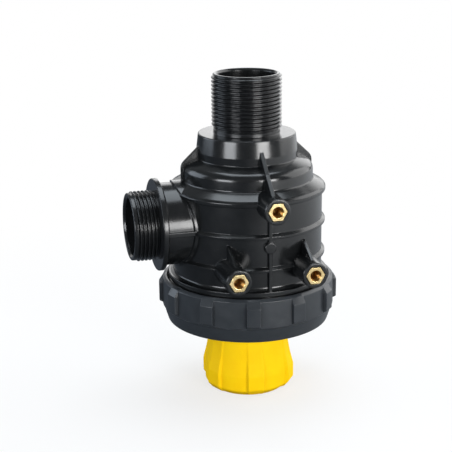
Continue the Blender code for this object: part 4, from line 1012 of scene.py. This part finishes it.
def make_seat():
    """The seat ring with its raised lip, its groove and its flange under the chamber."""
    face = SEAT_TOP - SEAT_LIP
    seat = turned("seat_ring", [
        (SEAT_BORE_R, SEAT_TOP, 0.3), (SEAT_LIP_R, SEAT_TOP, 0.4), (SEAT_LIP_R + 1.0, face, 0.3),
        (SEAT_R, face, 0.4), (SEAT_R, SEAT_GROOVE_HIGH, 0.1), (SEAT_GROOVE_R, SEAT_GROOVE_HIGH, 0.2),
        (SEAT_GROOVE_R, SEAT_GROOVE_LOW, 0.2), (SEAT_R, SEAT_GROOVE_LOW, 0.1),
        (SEAT_R, SEAT_FLANGE_HIGH, 0.2), (SEAT_FLANGE_R, SEAT_FLANGE_HIGH, 0.4),
        (SEAT_FLANGE_R, SEAT_FLANGE_LOW, 0.5), (SEAT_BORE_R + 1.2, SEAT_FLANGE_LOW, 0.6),
        (SEAT_BORE_R, SEAT_FLANGE_LOW + 1.2, 0.5),
    ], WHITE)
    put(seat, "housing_body", "valve_seat")


def make_valve():
    """The plunger's disc and stem, its rubber face and the hexagon nut that holds the face."""
    plunger = turned("plunger_disc", [
        (0, STEM_TOP), (STEM_R, STEM_TOP, 0.6), (STEM_R, DISC_TOP + STEM_FOOT, 1.5),
        (STEM_R + STEM_FOOT, DISC_TOP, 0.8), (DISC_R, DISC_TOP, 0.7), (DISC_R, DISC_LOW, 0.3),
        (VALVE_NECK_R, DISC_LOW), (VALVE_NECK_R, VALVE_NECK_LOW, 0.3), (0, VALVE_NECK_LOW),
    ], WHITE)
    put(plunger, "valve_body", "valve_plunger")
    hole_r = VALVE_NECK_R + FIT
    face = washer("valve_face", (hole_r, 0.2), (SEAL_R, 0.4), SEAL_LOW, SEAL_HIGH, RUBBER)
    put(face, "valve_body", "plunger_seal")
    nut = prism("face_nut", polygon(6, RETAINER_R), RETAINER_LOW, SEAL_LOW - FIT, "Z", 0.4, WHITE)
    solve(nut, [cylinder("cup", hole_r, RETAINER_LOW + FIT, SEAL_HIGH)], "DIFFERENCE")
    put(nut, "valve_body", "seal_retainer")


def make_guide():
    """The three-armed spider in the spigot's bore, which guides the stem."""
    guide_low = GUIDE_TOP - GUIDE_HEIGHT
    guide = washer("stem_guide", (GUIDE_R - GUIDE_WALL, 0.3), (GUIDE_R, 0.3), guide_low, GUIDE_TOP, WHITE)
    hub_low = guide_low - GUIDE_HUB_DROP
    hub = [(0, GUIDE_TOP), (GUIDE_HUB_R, GUIDE_TOP, 0.5), (GUIDE_HUB_R, hub_low, 0.4), (0, hub_low)]
    pieces = [turned("hub", hub, steps=SMALL_STEPS)]
    half = GUIDE_ARM_WIDTH / 2
    across = rectangle(STEM_R + JOIN, GUIDE_R - GUIDE_WALL / 2, -half, half)
    for index in range(GUIDE_ARMS):
        arm = prism(f"arm_{index}", across, ARM_LOW, ARM_HIGH, "Z", 0.35)
        arm.data.transform(Matrix.Rotation(tau * index / GUIDE_ARMS, 4, "Z"))
        pieces.append(arm)
    solve(guide, pieces, "UNION")
    bore = cylinder("stem_bore", STEM_R + FIT, hub_low - CUT_PAST, GUIDE_TOP + CUT_PAST)
    solve(guide, [bore], "DIFFERENCE")
    put(guide, "housing_body", "spring_guide")


def make_spring():
    """A helical spring whose end turns lie flat on the disc and under the guide's arms."""
    low, high = DISC_TOP + FIT, ARM_LOW - FIT
    curve = bpy.data.curves.new("coil_spring", "CURVE")
    curve.dimensions = "3D"
    curve.bevel_depth = SPRING_WIRE_R * MM
    curve.bevel_resolution = 4
    curve.use_fill_caps = True
    spline = curve.splines.new("POLY")
    spline.points.add(SPRING_STEPS)
    flat = SPRING_FLAT / SPRING_TURNS
    for index, point in enumerate(spline.points):
        share = index / SPRING_STEPS
        rise = min(max((share - flat / 2) / (1 - flat), 0.0), 1.0)
        turn = tau * SPRING_TURNS * share
        height = low + SPRING_WIRE_R + (high - low - 2 * SPRING_WIRE_R) * rise
        point.co = (SPRING_R * cos(turn) * MM, SPRING_R * sin(turn) * MM, height * MM, 1)
    path = new_object("spring_path", curve)
    mesh = evaluated(path)
    bpy.data.objects.remove(path)
    coil = add("coil_spring", mesh, STEEL, sharp=60)
    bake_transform(coil)
    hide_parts("valve_spring")


# Cartridge


def make_gaskets():
    places = (
        ("lower_gasket", "bottom_gasket", CAGE_R - 1.0, LID_SEAT + FIT),
        ("upper_gasket", "top_gasket", TOP_GASKET_R, CAGE_HIGH + FIT),
    )
    for name, node, outer_r, low in places:
        inner_r = outer_r - GASKET_WIDTH
        gasket = washer(name, (inner_r, 0.5), (outer_r, 0.5), low, low + GASKET_THICK, RUBBER)
        put(gasket, "cartridge_body", node)


def make_cage():
    """The moulded cage: a floor with a guide for the rod, an open mouth, and windows between its ribs."""
    inner_r = CAGE_R - CAGE_WALL
    floor, roof = CAGE_LOW + 3.0, CAGE_HIGH - 3.0
    cage = turned("filter_cage", [
        (CAGE_R, CAGE_HIGH, 0.6), (CAGE_R, CAGE_LOW, 0.6), (CAGE_GUIDE_R, CAGE_LOW, 0.3),
        (CAGE_GUIDE_R, floor + 3.0, 0.4), (CAGE_TUBE_R, floor + 3.0, 0.4), (CAGE_TUBE_R, floor, 0.6),
        (inner_r, floor, 0.6), (inner_r, roof, 0.6), (CAGE_MOUTH_R, roof, 0.5),
        (CAGE_MOUTH_R, CAGE_HIGH, 0.5),
    ], WHITE, 120)
    window_low = CAGE_LOW + CAGE_RING
    pitch = (CAGE_HIGH - CAGE_RING - window_low + CAGE_RIB) / CAGE_ROWS
    half_turn = pi / CAGE_COLUMNS - CAGE_RIB / CAGE_R / 2
    sides = rectangle(inner_r - JOIN, CAGE_R + CUT_PAST, -half_turn, half_turn)
    windows = []
    for row in range(CAGE_ROWS):
        bottom = window_low + pitch * row
        for column in range(CAGE_COLUMNS):
            middle = tau * column / CAGE_COLUMNS
            across = [(r * cos(middle + turn), r * sin(middle + turn)) for r, turn in sides]
            top = bottom + pitch - CAGE_RIB
            windows.append(prism(f"window_{row}_{column}", across, bottom, top, "Z", 0.8))
    solve(cage, windows, "DIFFERENCE")
    put(cage, "cartridge_body", "cartridge_cage")


def make_screen():
    """The screen inside the cage, as crossed wires."""
    mesh_r = CAGE_R - CAGE_WALL - 2 * FIT
    low, height = CAGE_LOW + 3.4, CAGE_HIGH - CAGE_LOW - 6.8
    verts = []
    for row in range(MESH_ROWS + 1):
        level = low + height * row / MESH_ROWS
        verts += [(x * MM, y * MM, level * MM) for x, y in polygon(MESH_COLUMNS, mesh_r)]
    faces = []
    for row in range(MESH_ROWS):
        faces += band(row * MESH_COLUMNS, (row + 1) * MESH_COLUMNS, MESH_COLUMNS)
    screen = add("woven_screen", make_mesh("woven_screen", verts, faces), STEEL)
    wires = screen.modifiers.new("wires", "WIREFRAME")
    wires.thickness = WIRE * MM
    wires.use_even_offset = False
    wires.use_boundary = True
    put(screen, "cartridge_body", "mesh_screen")


# Floor, light and camera


def toward(angle, distance, height):
    """A place in metres, at an angle in degrees to the right of the camera as seen from the filter."""
    turn = radians(angle)
    camera = Vector((-sin(VIEW_TURN), -cos(VIEW_TURN), 0))
    right = Vector((cos(VIEW_TURN), -sin(VIEW_TURN), 0))
    flat = camera * cos(turn) + right * sin(turn)
    return flat * distance + Vector((0, 0, height))


def lamp(name, angle, distance, height, width, tall, power, aim=0.11, colour=(1, 1, 1)):
    """A soft box that faces the filter's axis at the height aim, in metres and watts."""
    light = bpy.data.lights.new(name, "AREA")
    light.shape = "RECTANGLE"
    light.size, light.size_y = width, tall
    light.energy = power
    light.color = colour
    obj = new_object(name, light)
    obj.location = toward(angle, distance, height)
    obj.rotation_euler = (Vector((0, 0, aim)) - obj.location).to_track_quat("-Z", "Y").to_euler()


def floor_material():
    """Pale with a shadow near the filter for the camera, white farther out, and nothing from below.

    Reflections and bounced light see a floor with painted shade: its colour is dark to the left and
    brightens to the right."""
    made, tree, shader = nodes_of("floor_pale")
    set_inputs(shader, {"Roughness": 0.9, "Specular IOR Level": 0.1})
    from_camera = source(tree, "LightPath", "Is Camera Ray")
    where = source(tree, "TexCoord", "Object")
    across = add_node(tree, "VectorMath", operation="DOT_PRODUCT")
    tree.links.new(where, across.inputs[0])
    set_inputs(across, {1: (cos(VIEW_TURN), -sin(VIEW_TURN), 0)})
    share = remap(tree, across.outputs["Value"], 0.0, 1.0, *FLOOR_BRIGHTENS)
    # Painted shade: for all but camera rays the floor's colour darkens to the left of the filter, so that
    # its left side shows darker reflections.
    painted_shade_for_reflections = mix_colour(tree, share, FLOOR_LEFT_PAINTED_SHADE, FLOOR_RIGHT)
    seen = mix_colour(tree, from_camera, painted_shade_for_reflections, FLOOR_SEEN)
    tree.links.new(seen, shader.inputs["Base Color"])
    flat = add_node(tree, "VectorMath", operation="LENGTH")
    tree.links.new(where, flat.inputs[0])
    fade = multiply(tree, from_camera, remap(tree, flat.outputs["Value"], 0.7, 1.0, *FLOOR_FADE))
    white = source(tree, "Emission", "Emission")
    lit = mix_shader(tree, fade, shader.outputs["BSDF"], white)
    backfacing = source(tree, "NewGeometry", "Backfacing")
    clear = source(tree, "BsdfTransparent", "BSDF")
    shown = mix_shader(tree, multiply(tree, from_camera, backfacing), lit, clear)
    tree.links.new(shown, tree.nodes["Material Output"].inputs["Surface"])
    return made


def make_floor():
    """It rides on the cap, whose foot stands on it, also when parts are drawn out."""
    mesh = bpy.data.meshes.new("floor")
    corners = rectangle(-FLOOR_REACH, FLOOR_REACH, -FLOOR_REACH, FLOOR_REACH)
    mesh.from_pydata([(x, y, 0) for x, y in corners], [], [(0, 1, 2, 3)])
    mesh.materials.append(floor_material())
    floor = new_object("floor", mesh)
    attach(floor, "cap_body")


def make_world():
    """A dim bluish room that the camera sees as white."""
    world = bpy.data.worlds.new("studio")
    bpy.context.scene.world = world
    world.use_nodes = True
    tree = world.node_tree
    room = tree.nodes["Background"]
    set_inputs(room, {"Color": (0.9, 0.95, 1.0, 1), "Strength": 0.2})
    white = add_node(tree, "Background", Color=(1, 1, 1, 1), Strength=1.0).outputs["Background"]
    from_camera = source(tree, "LightPath", "Is Camera Ray")
    mixed = mix_shader(tree, from_camera, room.outputs["Background"], white)
    tree.links.new(mixed, tree.nodes["World Output"].inputs["Surface"])


def make_lamps():
    lamp("left_box", -38, 1.3, 0.30, 0.62, 0.46, 8.6, aim=0.30, colour=(0.93, 0.96, 1.0))
    lamp("right_box", 37, 1.3, 0.30, 0.62, 0.46, 13.0, aim=0.30)
    lamp("top_box", 180, 0.25, 1.5, 1.0, 1.0, 12.0, colour=(0.85, 0.93, 1.0))
    lamp("side_panel", 108, 1.3, 0.65, 1.6, 1.3, 15.0)
    lamp("left_fill", -100, 1.4, 0.5, 1.0, 0.9, 8.0, colour=(0.78, 0.88, 1.0))
    lamp("back_panel", 180, 1.7, 0.5, 2.4, 0.9, 5.0)
    lamp("back_box", 165, 1.5, 0.6, 1.3, 0.8, 4.0, aim=0.20)


def make_camera():
    """The photograph's view of the filter."""
    data = bpy.data.cameras.new("camera")
    data.lens = LENS
    data.sensor_width = SENSOR
    data.clip_end = 60.0
    camera = new_object("camera", data)
    flat = cos(CAMERA_PITCH)
    forward = Vector((sin(CAMERA_YAW) * flat, cos(CAMERA_YAW) * flat, -sin(CAMERA_PITCH)))
    camera.location = toward(0, CAMERA_DISTANCE * MM, CAMERA_HEIGHT * MM)
    turn = forward.to_track_quat("-Z", "Y").to_matrix().to_4x4() @ Matrix.Rotation(-CAMERA_ROLL, 4, "Z")
    camera.rotation_euler = turn.to_euler()
    bpy.context.scene.camera = camera


make_housing()
make_spigot()
make_port_thread()
make_base_thread()
make_inserts()
make_ring_nut()
make_cap()
make_plug()
make_lid()
make_seals()
make_bush()
make_rod()
make_seat()
make_valve()
make_guide()
make_gaskets()
make_cage()
make_screen()
make_spring()
make_floor()
make_world()
make_camera()
make_lamps()
bpy.context.scene.view_settings.view_transform = "Standard"
